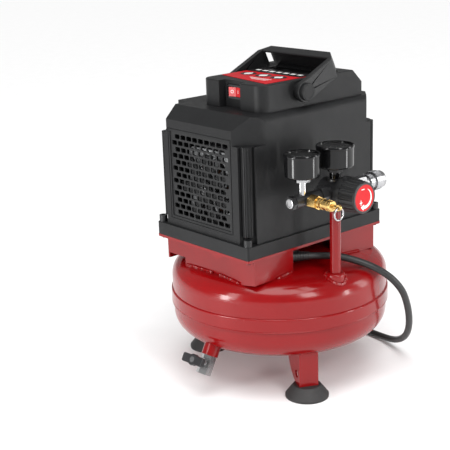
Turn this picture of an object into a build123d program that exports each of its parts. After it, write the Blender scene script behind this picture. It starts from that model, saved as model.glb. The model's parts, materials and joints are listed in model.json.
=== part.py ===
"""Oil-free pancake air compressor: one-gallon tank, housed pump and motor, air controls in front.

Millimetres. +Z is up, +X runs to the right along the control side, +Y runs to the back.
The origin is on the tank's axis, on the plane that the three rubber feet stand on.
"""

from math import cos, pi, radians, sin, sqrt, tan
import os

from build123d import *

os.makedirs("parts", exist_ok=True)

# ---- driving dimensions -------------------------------------------------------------------

# air tank: two pressed dished shells, the upper one lapped over the lower one
TANK_RADIUS = 125.0
TANK_WALL = 2.3
SEAM_Z = 88.0
RIM_HEIGHT = 12.0
LOWER_STRAIGHT = 12.0
LOWER_KNUCKLE = 24.0
LOWER_CROWN_DEG = 3.0
UPPER_RADIUS = 125.7
UPPER_STRAIGHT = 30.0
UPPER_KNUCKLE = 20.7
UPPER_CROWN_DEG = 9.9

# legs and feet
LEG_ANGLES = (-117.0, 107.0, 5.0)
FOOT_CIRCLE = 101.5
FOOT_BASE_RADIUS = 24.5
FOOT_TOP_RADIUS = 15.5
FOOT_HEIGHT = 14.0
LEG_WIDTH = 22.0
LEG_SHEET = 2.0
LEG_FACE_RADIUS = 109.0
LEG_DEPTH_TOP = 44.0

# drain at the lower left corner of the tank
DRAIN_ANGLE = 184.0
DRAIN_TILT = 30.0

# steel deck, brackets and plastic tray
DECK_X = (-114.3, 95.5)
DECK_Y = (-73.8, 80.9)
DECK_Z = 167.4
DECK_SHEET = 3.0
TRAY_HEIGHT = 14.6
BRACKET_SHEET = 2.5

# plastic cover
COVER_X = (-111.0, 93.5)
COVER_Y = (-71.0, 78.0)
COVER_WALL = 3.0
LEDGE_Z = 290.5
COVER_TOP_Z = 321.0
NOTCH = 13.0
SHOULDER = 20.0
REAR_NOTCH = (33.0, 18.0)
BEVEL = 14.5

# control pod on top of the cover
POD_X = (-79.0, 75.0)
POD_Y = (-62.0, 35.0)
POD_TOP_Z = 350.5
POD_WALL = 3.0
GUARD_X = 46.0
GUARD_BACK_Y = 62.0
POCKET_X = (10.0, 46.0)
POCKET_Y = (-56.0, 29.0)
SWITCH_NOTCH_Y = (-29.0, 5.0)
SWITCH_NOTCH_DEPTH = 9.0
ROCKER_RADIUS = 12.0
ROCKER_TILT = 8.0

# carrying handle
PIVOT_X, PIVOT_Z = -23.0, 338.5
HANDLE_REST_DEG = 25.0
HANDLE_REACH = 60.0
HANDLE_WIDTH = 23.0
HANDLE_ARM = 6.0
HANDLE_Y = (-72.0, 45.0)

# air controls
AIR_Y = -108.0
AIR_Z = 234.5
RISER_X = -17.5
TANK_GAUGE_X = -66.5
SAFETY_X = -63.0
RISER_RADIUS = 6.0
KNOB_RADIUS = 16.8
KNOB_FRONT_Y = -150.0

# pump and motor
SHAFT_Y = 8.0
SHAFT_Z = 232.0
SHAFT_RADIUS = 5.0
CRANK_THROW = 4.0
CYLINDER_X = 16.0
BORE_RADIUS = 23.0

# power cord
CORD_RADIUS = 4.0
COIL_TURN_RADIUS = 44.0

RUNNING_GAP = 0.05
AXIS_PLAIN = 0.3


def save(part, name):
    """Label a finished piece and write it as its own STEP file."""
    part.label = name
    export_step(part, f"parts/{name}.step")


def polar(radius, angle):
    """A point in plan at a radius and an angle in degrees."""
    return (radius * cos(radians(angle)), radius * sin(radians(angle)))


# ---- tank -----------------------------------------------------------------------------------


def crown_rise(knuckle_centre, knuckle, crown_deg):
    """How far a dished end's middle stands above its knuckle's centre plane."""
    join_radius = knuckle_centre + knuckle * sin(radians(crown_deg))
    return knuckle * cos(radians(crown_deg)) + join_radius * tan(radians(crown_deg) / 2)


def dished_face(radius, knuckle, crown_deg, open_z, knuckle_z, up):
    """Half section of a dished end, from its open plane to its crown, closed along the axis."""
    centre = radius - knuckle
    side = 1 if up else -1
    top_z = knuckle_z + side * crown_rise(centre, knuckle, crown_deg)
    join = (
        centre + knuckle * sin(radians(crown_deg)),
        knuckle_z + side * knuckle * cos(radians(crown_deg)),
    )
    middle_deg = (90 + crown_deg) / 2
    middle = (
        centre + knuckle * sin(radians(middle_deg)),
        knuckle_z + side * knuckle * cos(radians(middle_deg)),
    )
    crown_radius = join[0] / sin(radians(crown_deg))
    half = radians(crown_deg) / 2
    crown_mid = (crown_radius * sin(half), top_z - side * crown_radius * (1 - cos(half)))
    with BuildLine() as outline:
        Line((0, open_z), (radius, open_z))
        Line((radius, open_z), (radius, knuckle_z))
        ThreePointArc((radius, knuckle_z), middle, join)
        ThreePointArc(join, crown_mid, (0, top_z))
        Line((0, top_z), (0, open_z))
    make_face(outline.edges())


RIM_TOP_Z = SEAM_Z + RIM_HEIGHT
UPPER_KNUCKLE_Z = SEAM_Z + UPPER_STRAIGHT
LOWER_KNUCKLE_Z = SEAM_Z - LOWER_STRAIGHT
RIM_RADIUS = TANK_RADIUS + TANK_WALL
TANK_TOP_Z = UPPER_KNUCKLE_Z + crown_rise(UPPER_RADIUS - UPPER_KNUCKLE, UPPER_KNUCKLE, UPPER_CROWN_DEG)
TANK_BOTTOM_Z = LOWER_KNUCKLE_Z - crown_rise(TANK_RADIUS - LOWER_KNUCKLE, LOWER_KNUCKLE, LOWER_CROWN_DEG)


def dome_z(radius):
    """Height of the tank's top surface at a radius inside the crown."""
    join = UPPER_RADIUS - UPPER_KNUCKLE + UPPER_KNUCKLE * sin(radians(UPPER_CROWN_DEG))
    crown_radius = join / sin(radians(UPPER_CROWN_DEG))
    return TANK_TOP_Z - crown_radius + sqrt(crown_radius**2 - radius**2)


with BuildPart() as tank_lower_shell:
    with BuildSketch(Plane.XZ):
        dished_face(TANK_RADIUS, LOWER_KNUCKLE, LOWER_CROWN_DEG, RIM_TOP_Z, LOWER_KNUCKLE_Z, False)
    revolve(axis=Axis.Z)
    with BuildSketch(Plane.XZ):
        dished_face(
            TANK_RADIUS - TANK_WALL,
            LOWER_KNUCKLE - TANK_WALL,
            LOWER_CROWN_DEG,
            RIM_TOP_Z,
            LOWER_KNUCKLE_Z,
            False,
        )
    revolve(axis=Axis.Z, mode=Mode.SUBTRACT)
save(tank_lower_shell.part, "tank_lower_shell")

RISER_HOLE = RISER_RADIUS + RUNNING_GAP
CHECK_VALVE_X = 62.0
CHECK_THREAD = 6.0

with BuildPart() as tank_upper_shell:
    with BuildSketch(Plane.XZ):
        dished_face(UPPER_RADIUS, UPPER_KNUCKLE, UPPER_CROWN_DEG, RIM_TOP_Z, UPPER_KNUCKLE_Z, True)
    revolve(axis=Axis.Z)
    with BuildSketch(Plane.XY.offset(SEAM_Z)):
        Circle(RIM_RADIUS)
    extrude(amount=RIM_HEIGHT + TANK_WALL)
    with BuildSketch(Plane.XZ):
        dished_face(
            UPPER_RADIUS - TANK_WALL,
            UPPER_KNUCKLE - TANK_WALL,
            UPPER_CROWN_DEG,
            RIM_TOP_Z,
            UPPER_KNUCKLE_Z,
            True,
        )
    revolve(axis=Axis.Z, mode=Mode.SUBTRACT)
    with BuildSketch(Plane.XY.offset(SEAM_Z)):
        Circle(TANK_RADIUS)
    extrude(amount=RIM_HEIGHT, mode=Mode.SUBTRACT)
    rim_edges = tank_upper_shell.edges().filter_by(GeomType.CIRCLE)
    rim_edges = rim_edges.filter_by(lambda e: abs(e.radius - RIM_RADIUS) < RUNNING_GAP)
    fillet(rim_edges.sort_by(Axis.Z)[-1], 1.4)
    with Locations((RISER_X, AIR_Y, TANK_TOP_Z)):
        Hole(RISER_HOLE - 1.5, depth=TANK_WALL * 12)
    with Locations((CHECK_VALVE_X, SHAFT_Y, TANK_TOP_Z)):
        Hole(CHECK_THREAD, depth=TANK_WALL * 12)
save(tank_upper_shell.part, "tank_upper_shell")

# a fillet weld closes the step between the lapped rim and the lower shell
WELD_LEG = 2.3
with BuildPart() as tank_seam_weld:
    with BuildSketch(Plane.XZ):
        with BuildLine():
            Line((TANK_RADIUS, SEAM_Z), (RIM_RADIUS, SEAM_Z))
            ThreePointArc(
                (RIM_RADIUS, SEAM_Z),
                (TANK_RADIUS + WELD_LEG * 0.62, SEAM_Z - WELD_LEG * 0.62),
                (TANK_RADIUS, SEAM_Z - WELD_LEG),
            )
            Line((TANK_RADIUS, SEAM_Z - WELD_LEG), (TANK_RADIUS, SEAM_Z))
        make_face()
    revolve(axis=Axis.Z)
save(tank_seam_weld.part, "tank_seam_weld")


def tank_cutter():
    """The tank's closed outer shape, for trimming what is welded to it."""
    with BuildPart() as cutter:
        with BuildSketch(Plane.XZ):
            dished_face(UPPER_RADIUS, UPPER_KNUCKLE, UPPER_CROWN_DEG, SEAM_Z, UPPER_KNUCKLE_Z, True)
            dished_face(TANK_RADIUS, LOWER_KNUCKLE, LOWER_CROWN_DEG, SEAM_Z, LOWER_KNUCKLE_Z, False)
        revolve(axis=Axis.Z)
    return cutter.part


TANK_SOLID = tank_cutter()

# ---- legs and feet ----------------------------------------------------------------------------

LEG_TOP_Z = SEAM_Z - LOWER_STRAIGHT
FOOT_SCREW_RADIUS = 2.5


def leg_plane(angle):
    """Plane at floor height with its x axis pointing outwards along one leg."""
    return Plane(origin=(0, 0, 0), x_dir=(*polar(1, angle), 0), z_dir=(0, 0, 1))


def leg(angle):
    """One pressed channel leg: outer face, two tapering cheeks and a floor for the foot."""
    base = leg_plane(angle)
    side = Plane(origin=base.origin, x_dir=base.x_dir, z_dir=-base.y_dir)
    inner = LEG_FACE_RADIUS - LEG_DEPTH_TOP
    toe = LEG_FACE_RADIUS - 15.0
    with BuildPart() as one_leg:
        with BuildSketch(side):
            with BuildLine():
                Polyline(
                    (LEG_FACE_RADIUS, FOOT_HEIGHT),
                    (LEG_FACE_RADIUS, LEG_TOP_Z),
                    (inner, LEG_TOP_Z),
                    (inner, TANK_BOTTOM_Z - 2),
                )
                ThreePointArc(
                    (inner, TANK_BOTTOM_Z - 2),
                    (inner + 9, (TANK_BOTTOM_Z + FOOT_HEIGHT) / 2 - 4),
                    (toe, FOOT_HEIGHT),
                )
                Line((toe, FOOT_HEIGHT), (LEG_FACE_RADIUS, FOOT_HEIGHT))
            make_face()
        extrude(amount=LEG_WIDTH / 2, both=True)
        hollow = base.offset(FOOT_HEIGHT + LEG_SHEET)
        with BuildSketch(hollow):
            with Locations((LEG_FACE_RADIUS - LEG_SHEET - LEG_DEPTH_TOP / 2, 0)):
                Rectangle(LEG_DEPTH_TOP, LEG_WIDTH - 2 * LEG_SHEET)
        extrude(amount=LEG_TOP_Z, mode=Mode.SUBTRACT)
        with BuildSketch(side):
            with Locations((LEG_FACE_RADIUS - 11, FOOT_HEIGHT + 12)):
                Circle(4.5)
        extrude(amount=LEG_WIDTH, both=True, mode=Mode.SUBTRACT)
        with BuildSketch(base.offset(FOOT_HEIGHT)):
            with Locations((FOOT_CIRCLE, 0)):
                Circle(FOOT_SCREW_RADIUS)
        extrude(amount=LEG_SHEET, mode=Mode.SUBTRACT)
        add(TANK_SOLID, mode=Mode.SUBTRACT)
    return one_leg.part.solids().sort_by(SortBy.VOLUME)[-1]


with BuildPart() as tank_legs:
    for angle in LEG_ANGLES:
        add(leg(angle))
save(tank_legs.part, "tank_legs")

SOLE_LIP = 2.5
CUP_RADIUS = 19.0
CUP_DEPTH = 3.0
with BuildPart() as rubber_feet:
    for angle in LEG_ANGLES:
        centre = Plane(origin=(*polar(FOOT_CIRCLE, angle), 0))
        with BuildSketch(Plane(origin=centre.origin, x_dir=(1, 0, 0), z_dir=(0, -1, 0))):
            Polygon(
                (0, CUP_DEPTH),
                (CUP_RADIUS - CUP_DEPTH, CUP_DEPTH),
                (CUP_RADIUS, 0),
                (FOOT_BASE_RADIUS, 0),
                (FOOT_BASE_RADIUS, SOLE_LIP),
                (FOOT_TOP_RADIUS, FOOT_HEIGHT),
                (0, FOOT_HEIGHT),
                align=None,
            )
        revolve(axis=Axis(centre.origin, (0, 0, 1)))
        with Locations((*polar(FOOT_CIRCLE, angle), FOOT_HEIGHT)):
            CounterBoreHole(FOOT_SCREW_RADIUS, 5.5, 7.0)
save(rubber_feet.part, "rubber_feet")

with BuildPart() as foot_screws:
    for angle in LEG_ANGLES:
        with BuildSketch(Plane(origin=(*polar(FOOT_CIRCLE, angle), FOOT_HEIGHT - 7.0))):
            Circle(FOOT_SCREW_RADIUS - RUNNING_GAP)
        extrude(amount=7.0 + LEG_SHEET + 2)
        with BuildSketch(Plane(origin=(*polar(FOOT_CIRCLE, angle), FOOT_HEIGHT + LEG_SHEET))):
            Circle(4.8)
        extrude(amount=3.2)
save(foot_screws.part, "foot_screws")

# ---- drain ----------------------------------------------------------------------------------

drain_out = (
    sin(radians(DRAIN_TILT)) * cos(radians(DRAIN_ANGLE)),
    sin(radians(DRAIN_TILT)) * sin(radians(DRAIN_ANGLE)),
    -cos(radians(DRAIN_TILT)),
)
drain_radius = TANK_RADIUS - LOWER_KNUCKLE + LOWER_KNUCKLE * sin(radians(DRAIN_TILT))
drain_root = (
    *polar(drain_radius, DRAIN_ANGLE),
    LOWER_KNUCKLE_Z - LOWER_KNUCKLE * cos(radians(DRAIN_TILT)),
)
# the drain's own frame: z runs out of the tank, x points away from the tank and upwards
drain_side = (-sin(radians(DRAIN_ANGLE)), cos(radians(DRAIN_ANGLE)), 0)
drain_up = Vector(*drain_out).cross(Vector(*drain_side))
DRAIN = Plane(origin=drain_root, x_dir=drain_up, z_dir=drain_out)

BUNG_RADIUS = 9.5
BUNG_LENGTH = 11.0
VALVE_LENGTH = 22.0
PORT_RADIUS = 3.0
BALL_RADIUS = 5.5
STEM_RADIUS = 2.0
VALVE_RADIUS = 7.5
BALL_CENTRE = BUNG_LENGTH + 10.0
BONNET_REACH = 20.0
OUTLET_RADIUS = 3.6
OUTLET_DEPTH = 6.0

with BuildPart() as drain_bung:
    with BuildSketch(DRAIN.offset(-4)):
        Circle(BUNG_RADIUS)
        Circle(PORT_RADIUS + 2, mode=Mode.SUBTRACT)
    extrude(amount=BUNG_LENGTH + 4)
    add(TANK_SOLID, mode=Mode.SUBTRACT)
save(drain_bung.part, "drain_bung")

with BuildPart() as drain_valve_body:
    with BuildSketch(DRAIN.offset(BUNG_LENGTH)):
        RegularPolygon(VALVE_RADIUS, 6, major_radius=False)
    extrude(amount=VALVE_LENGTH)
    stem_plane = Plane(origin=DRAIN.from_local_coords((0, 0, BALL_CENTRE)), z_dir=drain_up)
    with BuildSketch(stem_plane):
        Circle(5.0)
    extrude(amount=BONNET_REACH)
    with BuildSketch(DRAIN.offset(BUNG_LENGTH)):
        Circle(PORT_RADIUS)
    extrude(amount=VALVE_LENGTH, mode=Mode.SUBTRACT)
    with Locations(DRAIN.from_local_coords((0, 0, BALL_CENTRE))):
        Sphere(BALL_RADIUS + RUNNING_GAP, mode=Mode.SUBTRACT)
    with BuildSketch(stem_plane):
        Circle(STEM_RADIUS + RUNNING_GAP)
    extrude(amount=BONNET_REACH, mode=Mode.SUBTRACT)
    with BuildSketch(DRAIN.offset(BUNG_LENGTH + VALVE_LENGTH - OUTLET_DEPTH)):
        Circle(OUTLET_RADIUS)
    extrude(amount=OUTLET_DEPTH, mode=Mode.SUBTRACT)
save(drain_valve_body.part, "drain_valve_body")

# ball turned about its own port, with a stem that is riveted over the lever
LEVER_LENGTH = 31.0
LEVER_WIDTH = 10.0
LEVER_THICK = 5.0
RIVET_RADIUS = 1.5
RIVET_HEAD = 3.3
RIVET_SEAT = 1.5
RIVET_LIFT = 0.2
SEAT_DEPTH = 0.7
ball_origin = DRAIN.from_local_coords((0, 0, BALL_CENTRE))
ball_edge = sqrt(BALL_RADIUS**2 - PORT_RADIUS**2)
with BuildPart() as drain_ball:
    with BuildSketch(Plane(origin=ball_origin, x_dir=drain_up, z_dir=Vector(*drain_out))):
        with BuildLine() as ball_profile:
            Line((PORT_RADIUS, -ball_edge), (PORT_RADIUS, ball_edge))
            ThreePointArc((PORT_RADIUS, ball_edge), (BALL_RADIUS, 0), (PORT_RADIUS, -ball_edge))
        make_face(ball_profile.edges())
    revolve(axis=Axis(ball_origin, drain_side))
    with BuildSketch(stem_plane.offset(BALL_RADIUS - 1.0)):
        Circle(STEM_RADIUS)
    extrude(amount=BONNET_REACH + AXIS_PLAIN + SEAT_DEPTH - BALL_RADIUS + 1.0)
    with BuildSketch(stem_plane.offset(BALL_RADIUS)):
        Circle(RIVET_RADIUS)
    extrude(amount=BONNET_REACH + AXIS_PLAIN + LEVER_THICK - BALL_RADIUS)
    with BuildSketch(stem_plane.offset(BONNET_REACH + AXIS_PLAIN + LEVER_THICK - RIVET_SEAT)):
        Circle(RIVET_HEAD)
    extrude(amount=RIVET_SEAT + RIVET_LIFT)
save(drain_ball.part, "drain_ball")

with BuildPart() as drain_lever:
    lever_plane = Plane(
        origin=DRAIN.from_local_coords((BONNET_REACH + AXIS_PLAIN, 0, BALL_CENTRE)),
        x_dir=drain_side,
        z_dir=drain_up,
    )
    with BuildSketch(lever_plane):
        RectangleRounded(LEVER_LENGTH, LEVER_WIDTH, 2.0)
        Circle(6.5)
    extrude(amount=LEVER_THICK)
    fillet(drain_lever.faces().sort_by(Axis(lever_plane.origin, lever_plane.z_dir))[-1].edges(), 0.8)
    with BuildSketch(lever_plane.offset(LEVER_THICK - RIVET_SEAT)):
        Circle(RIVET_HEAD)
    extrude(amount=RIVET_SEAT, mode=Mode.SUBTRACT)
    with BuildSketch(lever_plane):
        Circle(STEM_RADIUS)
    extrude(amount=SEAT_DEPTH, mode=Mode.SUBTRACT)
    with BuildSketch(lever_plane):
        Circle(RIVET_RADIUS)
    extrude(amount=LEVER_THICK, mode=Mode.SUBTRACT)
save(drain_lever.part, "drain_lever")

# ---- deck and brackets ------------------------------------------------------------------------

DECK_CX, DECK_CY = sum(DECK_X) / 2, sum(DECK_Y) / 2
DECK_W, DECK_D = DECK_X[1] - DECK_X[0], DECK_Y[1] - DECK_Y[0]
DECK_TOP_Z = DECK_Z + DECK_SHEET
TRAY_TOP_Z = DECK_TOP_Z + TRAY_HEIGHT
BRACKET_X = (-103.5, 86.5)
BRACKET_Y = (-71.0, 77.0)
BRACKET_RETURN = 58.0
BRACKET_FOOT_Y = (-71.0, 46.0)
BRACKET_SKIRT_Z = 146.0
BRACKET_FOOT_Z = 119.5
BRACKET_RETURN_Z = 139.5


def bracket(x_wall, inwards):
    """A pressed bracket: a side wall with front and back returns, cut to stand on the dome."""
    wall_mid = x_wall + inwards * BRACKET_SHEET / 2
    mid_y, depth = sum(BRACKET_Y) / 2, BRACKET_Y[1] - BRACKET_Y[0]
    with BuildPart() as one:
        with BuildSketch(Plane.XY.offset(BRACKET_SKIRT_Z)):
            with Locations((wall_mid, mid_y)):
                Rectangle(BRACKET_SHEET, depth)
        extrude(amount=DECK_Z - BRACKET_SKIRT_Z)
        with BuildSketch(Plane.YZ.offset(x_wall)):
            Polygon(
                (BRACKET_FOOT_Y[0], DECK_Z),
                (BRACKET_FOOT_Y[0], BRACKET_RETURN_Z),
                (BRACKET_FOOT_Y[1], BRACKET_FOOT_Z),
                (BRACKET_FOOT_Y[1], DECK_Z),
                align=None,
            )
        extrude(amount=inwards * BRACKET_SHEET)
        with BuildSketch(Plane.XY.offset(BRACKET_RETURN_Z)):
            for y_edge, side in ((BRACKET_Y[0], 1), (BRACKET_Y[1], -1)):
                with Locations((x_wall + inwards * BRACKET_RETURN / 2, y_edge + side * BRACKET_SHEET / 2)):
                    Rectangle(BRACKET_RETURN, BRACKET_SHEET)
        extrude(amount=DECK_Z - BRACKET_RETURN_Z)
        add(TANK_SOLID, mode=Mode.SUBTRACT)
    return one.part.solids().sort_by(SortBy.VOLUME)[-1]


with BuildPart() as bracket_left:
    add(bracket(BRACKET_X[0], 1))
save(bracket_left.part, "bracket_left")
with BuildPart() as bracket_right:
    add(bracket(BRACKET_X[1], -1))
save(bracket_right.part, "bracket_right")

LUG_Y = (-34.4, -10.4)
LUG_DROP = 5.5
LUG_SHEET = 2.0
SCREW_INSET = 5.2
SCREW_SHANK = 2.4
SCREW_PITCH = (DECK_W - 2 * SCREW_INSET, DECK_D - 2 * SCREW_INSET)
PIPE_HOLE = 12.0

with BuildPart() as base_plate:
    with BuildSketch(Plane.XY.offset(DECK_Z)):
        with Locations((DECK_CX, DECK_CY)):
            RectangleRounded(DECK_W, DECK_D, 2.0)
            with GridLocations(*SCREW_PITCH, 2, 2):
                Circle(SCREW_SHANK, mode=Mode.SUBTRACT)
        with Locations((CHECK_VALVE_X, SHAFT_Y)):
            Circle(PIPE_HOLE, mode=Mode.SUBTRACT)
    extrude(amount=DECK_SHEET)
    # a small pressed lug hangs from the plate's left edge
    with BuildSketch(Plane.YZ.offset(DECK_X[0])):
        Polygon((LUG_Y[0], DECK_Z), (LUG_Y[1], DECK_Z), (sum(LUG_Y) / 2, DECK_Z - LUG_DROP), align=None)
    extrude(amount=LUG_SHEET)
save(base_plate.part, "base_plate")

with BuildPart() as base_tray:
    with BuildSketch(Plane.XY.offset(DECK_TOP_Z)):
        with Locations((DECK_CX, DECK_CY)):
            RectangleRounded(DECK_W, DECK_D, 3.0)
    extrude(amount=TRAY_HEIGHT)
    with BuildSketch(Plane.XY.offset(DECK_TOP_Z + COVER_WALL)):
        with Locations((DECK_CX, DECK_CY)):
            Rectangle(DECK_W - 2 * (NOTCH + COVER_WALL), DECK_D - 4 * COVER_WALL)
            Rectangle(DECK_W - 4 * COVER_WALL, DECK_D - 2 * (NOTCH + COVER_WALL))
    extrude(amount=TRAY_HEIGHT, mode=Mode.SUBTRACT)
    with BuildSketch(Plane.XY.offset(DECK_TOP_Z)):
        with Locations((DECK_CX, DECK_CY)):
            with GridLocations(*SCREW_PITCH, 2, 2):
                Circle(SCREW_SHANK)
        with Locations((CHECK_VALVE_X, SHAFT_Y)):
            Circle(PIPE_HOLE)
    extrude(amount=TRAY_HEIGHT, mode=Mode.SUBTRACT)
save(base_tray.part, "base_tray")

SCREW_HEAD_RADIUS = 4.6
SCREW_HEAD_HEIGHT = 7.5
with BuildPart() as corner_screws:
    with BuildSketch(Plane.XY.offset(DECK_Z - 2)):
        with Locations((DECK_CX, DECK_CY)):
            with GridLocations(*SCREW_PITCH, 2, 2):
                Circle(SCREW_SHANK - RUNNING_GAP)
    extrude(amount=TRAY_TOP_Z - DECK_Z + 2)
    with BuildSketch(Plane.XY.offset(TRAY_TOP_Z)):
        with Locations((DECK_CX, DECK_CY)):
            with GridLocations(*SCREW_PITCH, 2, 2):
                Circle(SCREW_HEAD_RADIUS)
    extrude(amount=SCREW_HEAD_HEIGHT)
    with BuildSketch(Plane.XY.offset(TRAY_TOP_Z + SCREW_HEAD_HEIGHT - 3)):
        with Locations((DECK_CX, DECK_CY)):
            with GridLocations(*SCREW_PITCH, 2, 2):
                RegularPolygon(2.4, 6)
    extrude(amount=3, mode=Mode.SUBTRACT)
save(corner_screws.part, "corner_screws")

# ---- cover ------------------------------------------------------------------------------------

COVER_CX, COVER_CY = sum(COVER_X) / 2, sum(COVER_Y) / 2
COVER_W, COVER_D = COVER_X[1] - COVER_X[0], COVER_Y[1] - COVER_Y[0]
FRONT_TOP_FILLET = 8.0
GRILLE_Y = (-44.5, 54.5)
GRILLE_Z = (196.5, 294.0)
GRILLE_W, GRILLE_H = GRILLE_Y[1] - GRILLE_Y[0], GRILLE_Z[1] - GRILLE_Z[0]


def notched_outline(inset):
    """Plan of the lower cover: a rectangle with a square notch at each corner."""
    cut = NOTCH + inset
    with Locations((COVER_CX, COVER_CY)):
        Rectangle(COVER_W - 2 * cut, COVER_D - 2 * inset)
        Rectangle(COVER_W - 2 * inset, COVER_D - 2 * cut)


def shoulder_outline(inset):
    """Plan of the upper cover: three corners cut at an angle, and the rear left one stepped back."""
    x0, x1 = COVER_X[0] + inset, COVER_X[1] - inset
    y0, y1 = COVER_Y[0] + inset, COVER_Y[1] - inset
    Polygon(
        (x0, y0 + SHOULDER + 2),
        (x0 + SHOULDER - 4, y0 + 6),
        (x0 + SHOULDER + 10, y0),
        (x1 - SHOULDER, y0),
        (x1, y0 + SHOULDER),
        (x1, y1 - SHOULDER),
        (x1 - SHOULDER, y1),
        (COVER_X[0] + REAR_NOTCH[0] + inset, y1),
        (COVER_X[0] + REAR_NOTCH[0] + inset, COVER_Y[1] - REAR_NOTCH[1] - inset),
        (x0, COVER_Y[1] - REAR_NOTCH[1] - inset),
        align=None,
    )


def top_left_edge(part):
    """The long top edge above the grille."""
    return part.edges().filter_by(Axis.Y).group_by(Axis.Z)[-1].sort_by(Axis.X)[0]


with BuildPart() as upper_block:
    with BuildSketch(Plane.XY.offset(LEDGE_Z)):
        shoulder_outline(0)
    extrude(amount=COVER_TOP_Z - LEDGE_Z)
    chamfer(top_left_edge(upper_block.part), BEVEL)
    front_top = upper_block.edges().filter_by(Axis.X).group_by(Axis.Z)[-1].sort_by(Axis.Y)[0]
    fillet(front_top, FRONT_TOP_FILLET)

with BuildPart() as upper_hollow:
    with BuildSketch(Plane.XY.offset(LEDGE_Z + COVER_WALL)):
        shoulder_outline(COVER_WALL)
    extrude(amount=COVER_TOP_Z - LEDGE_Z - 2 * COVER_WALL)
    chamfer(top_left_edge(upper_hollow.part), BEVEL - COVER_WALL * 0.6)
    hollow_front = upper_hollow.edges().filter_by(Axis.X).group_by(Axis.Z)[-1].sort_by(Axis.Y)[0]
    fillet(hollow_front, FRONT_TOP_FILLET - COVER_WALL)

POST_RADIUS = 6.0
POST_INSET = 8.4
FLUTES = 14
FLUTE_RADIUS = 0.9
FRAME_GAP = 2.2
FRAME_GROOVE = 1.0
FRAME_DEPTH = 0.7
VENT_SLOT = (3.0, 34.0)
with BuildPart() as housing_cover:
    with BuildSketch(Plane.XY.offset(TRAY_TOP_Z)):
        notched_outline(0)
    extrude(amount=LEDGE_Z - TRAY_TOP_Z)
    add(upper_block.part)
    with BuildSketch(Plane.XY.offset(TRAY_TOP_Z)):
        notched_outline(COVER_WALL)
    extrude(amount=LEDGE_Z - TRAY_TOP_Z, mode=Mode.SUBTRACT)
    add(upper_hollow.part, mode=Mode.SUBTRACT)
    with BuildSketch(Plane.XY.offset(LEDGE_Z - COVER_WALL)):
        with Locations((COVER_CX, COVER_CY)):
            Rectangle(COVER_W - 2 * (SHOULDER + NOTCH), COVER_D - 2 * COVER_WALL)
            Rectangle(COVER_W - 2 * COVER_WALL, COVER_D - 2 * (SHOULDER + NOTCH))
    extrude(amount=3 * COVER_WALL, mode=Mode.SUBTRACT)
    # fluted screw towers stand in the corner notches above the deck screws
    with BuildSketch(Plane.XY.offset(TRAY_TOP_Z + SCREW_HEAD_HEIGHT + 1)):
        with Locations((COVER_CX, COVER_CY)):
            with GridLocations(COVER_W - 2 * POST_INSET, COVER_D - 2 * POST_INSET, 2, 2):
                Circle(POST_RADIUS)
                with PolarLocations(POST_RADIUS, FLUTES):
                    Circle(FLUTE_RADIUS, mode=Mode.SUBTRACT)
    extrude(amount=LEDGE_Z - TRAY_TOP_Z - SCREW_HEAD_HEIGHT - 1)
    # window for the grille, with a shallow groove round it
    with BuildSketch(Plane.YZ.offset(COVER_X[0])):
        with Locations((sum(GRILLE_Y) / 2, sum(GRILLE_Z) / 2)):
            Rectangle(GRILLE_W, GRILLE_H)
    extrude(amount=COVER_WALL, mode=Mode.SUBTRACT)
    with BuildSketch(Plane.YZ.offset(COVER_X[0])):
        with Locations((sum(GRILLE_Y) / 2, sum(GRILLE_Z) / 2)):
            Rectangle(GRILLE_W + 2 * (FRAME_GAP + FRAME_GROOVE), GRILLE_H + 2 * (FRAME_GAP + FRAME_GROOVE))
            Rectangle(GRILLE_W + 2 * FRAME_GAP, GRILLE_H + 2 * FRAME_GAP, mode=Mode.SUBTRACT)
    extrude(amount=FRAME_DEPTH, mode=Mode.SUBTRACT)
    # outlet louvres in the right and back walls
    with BuildSketch(Plane.YZ.offset(COVER_X[1] - COVER_WALL)):
        with Locations((COVER_CY, 250)):
            with GridLocations(10, 0, 9, 1):
                SlotOverall(VENT_SLOT[1], VENT_SLOT[0], rotation=90)
    extrude(amount=COVER_WALL, mode=Mode.SUBTRACT)
    with BuildSketch(Plane.XZ.offset(-COVER_Y[1])):
        with Locations((COVER_CX, 250)):
            with GridLocations(12, 0, 9, 1):
                SlotOverall(VENT_SLOT[1], VENT_SLOT[0], rotation=90)
    extrude(amount=COVER_WALL, mode=Mode.SUBTRACT)
save(housing_cover.part, "housing_cover")

GRILLE_SHEET = 2.0
GRILLE_ROWS, GRILLE_COLUMNS = 13, 9
GRILLE_MARGIN = 2.0
HOLE_SHARE = (0.84, 0.72)
HOLE_CUT = 0.10
row_pitch = (GRILLE_H - 2 * GRILLE_MARGIN) / GRILLE_ROWS
column_pitch = (GRILLE_W - 2 * GRILLE_MARGIN) / (GRILLE_COLUMNS + 0.5)


def grille_hole():
    """One grille hole: a rectangle with its corners cut."""
    x, y = column_pitch * HOLE_SHARE[0] / 2, row_pitch * HOLE_SHARE[1] / 2
    cut = column_pitch * HOLE_CUT
    Polygon(
        (-x, cut - y),
        (cut - x, -y),
        (x - cut, -y),
        (x, cut - y),
        (x, y - cut),
        (x - cut, y),
        (cut - x, y),
        (-x, y - cut),
        align=None,
        mode=Mode.SUBTRACT,
    )


with BuildPart() as grille_panel:
    with BuildSketch(Plane.YZ.offset(COVER_X[0] + 1.0)):
        with Locations((sum(GRILLE_Y) / 2, sum(GRILLE_Z) / 2)):
            Rectangle(GRILLE_W, GRILLE_H)
        for row in range(GRILLE_ROWS):
            first = GRILLE_Y[0] + GRILLE_MARGIN + column_pitch * (0.5 + 0.5 * (row % 2))
            for column in range(GRILLE_COLUMNS):
                at = (first + column * column_pitch, GRILLE_Z[0] + GRILLE_MARGIN + row_pitch * (row + 0.5))
                with Locations(at):
                    grille_hole()
    extrude(amount=GRILLE_SHEET)
save(grille_panel.part, "grille_panel")

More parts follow.
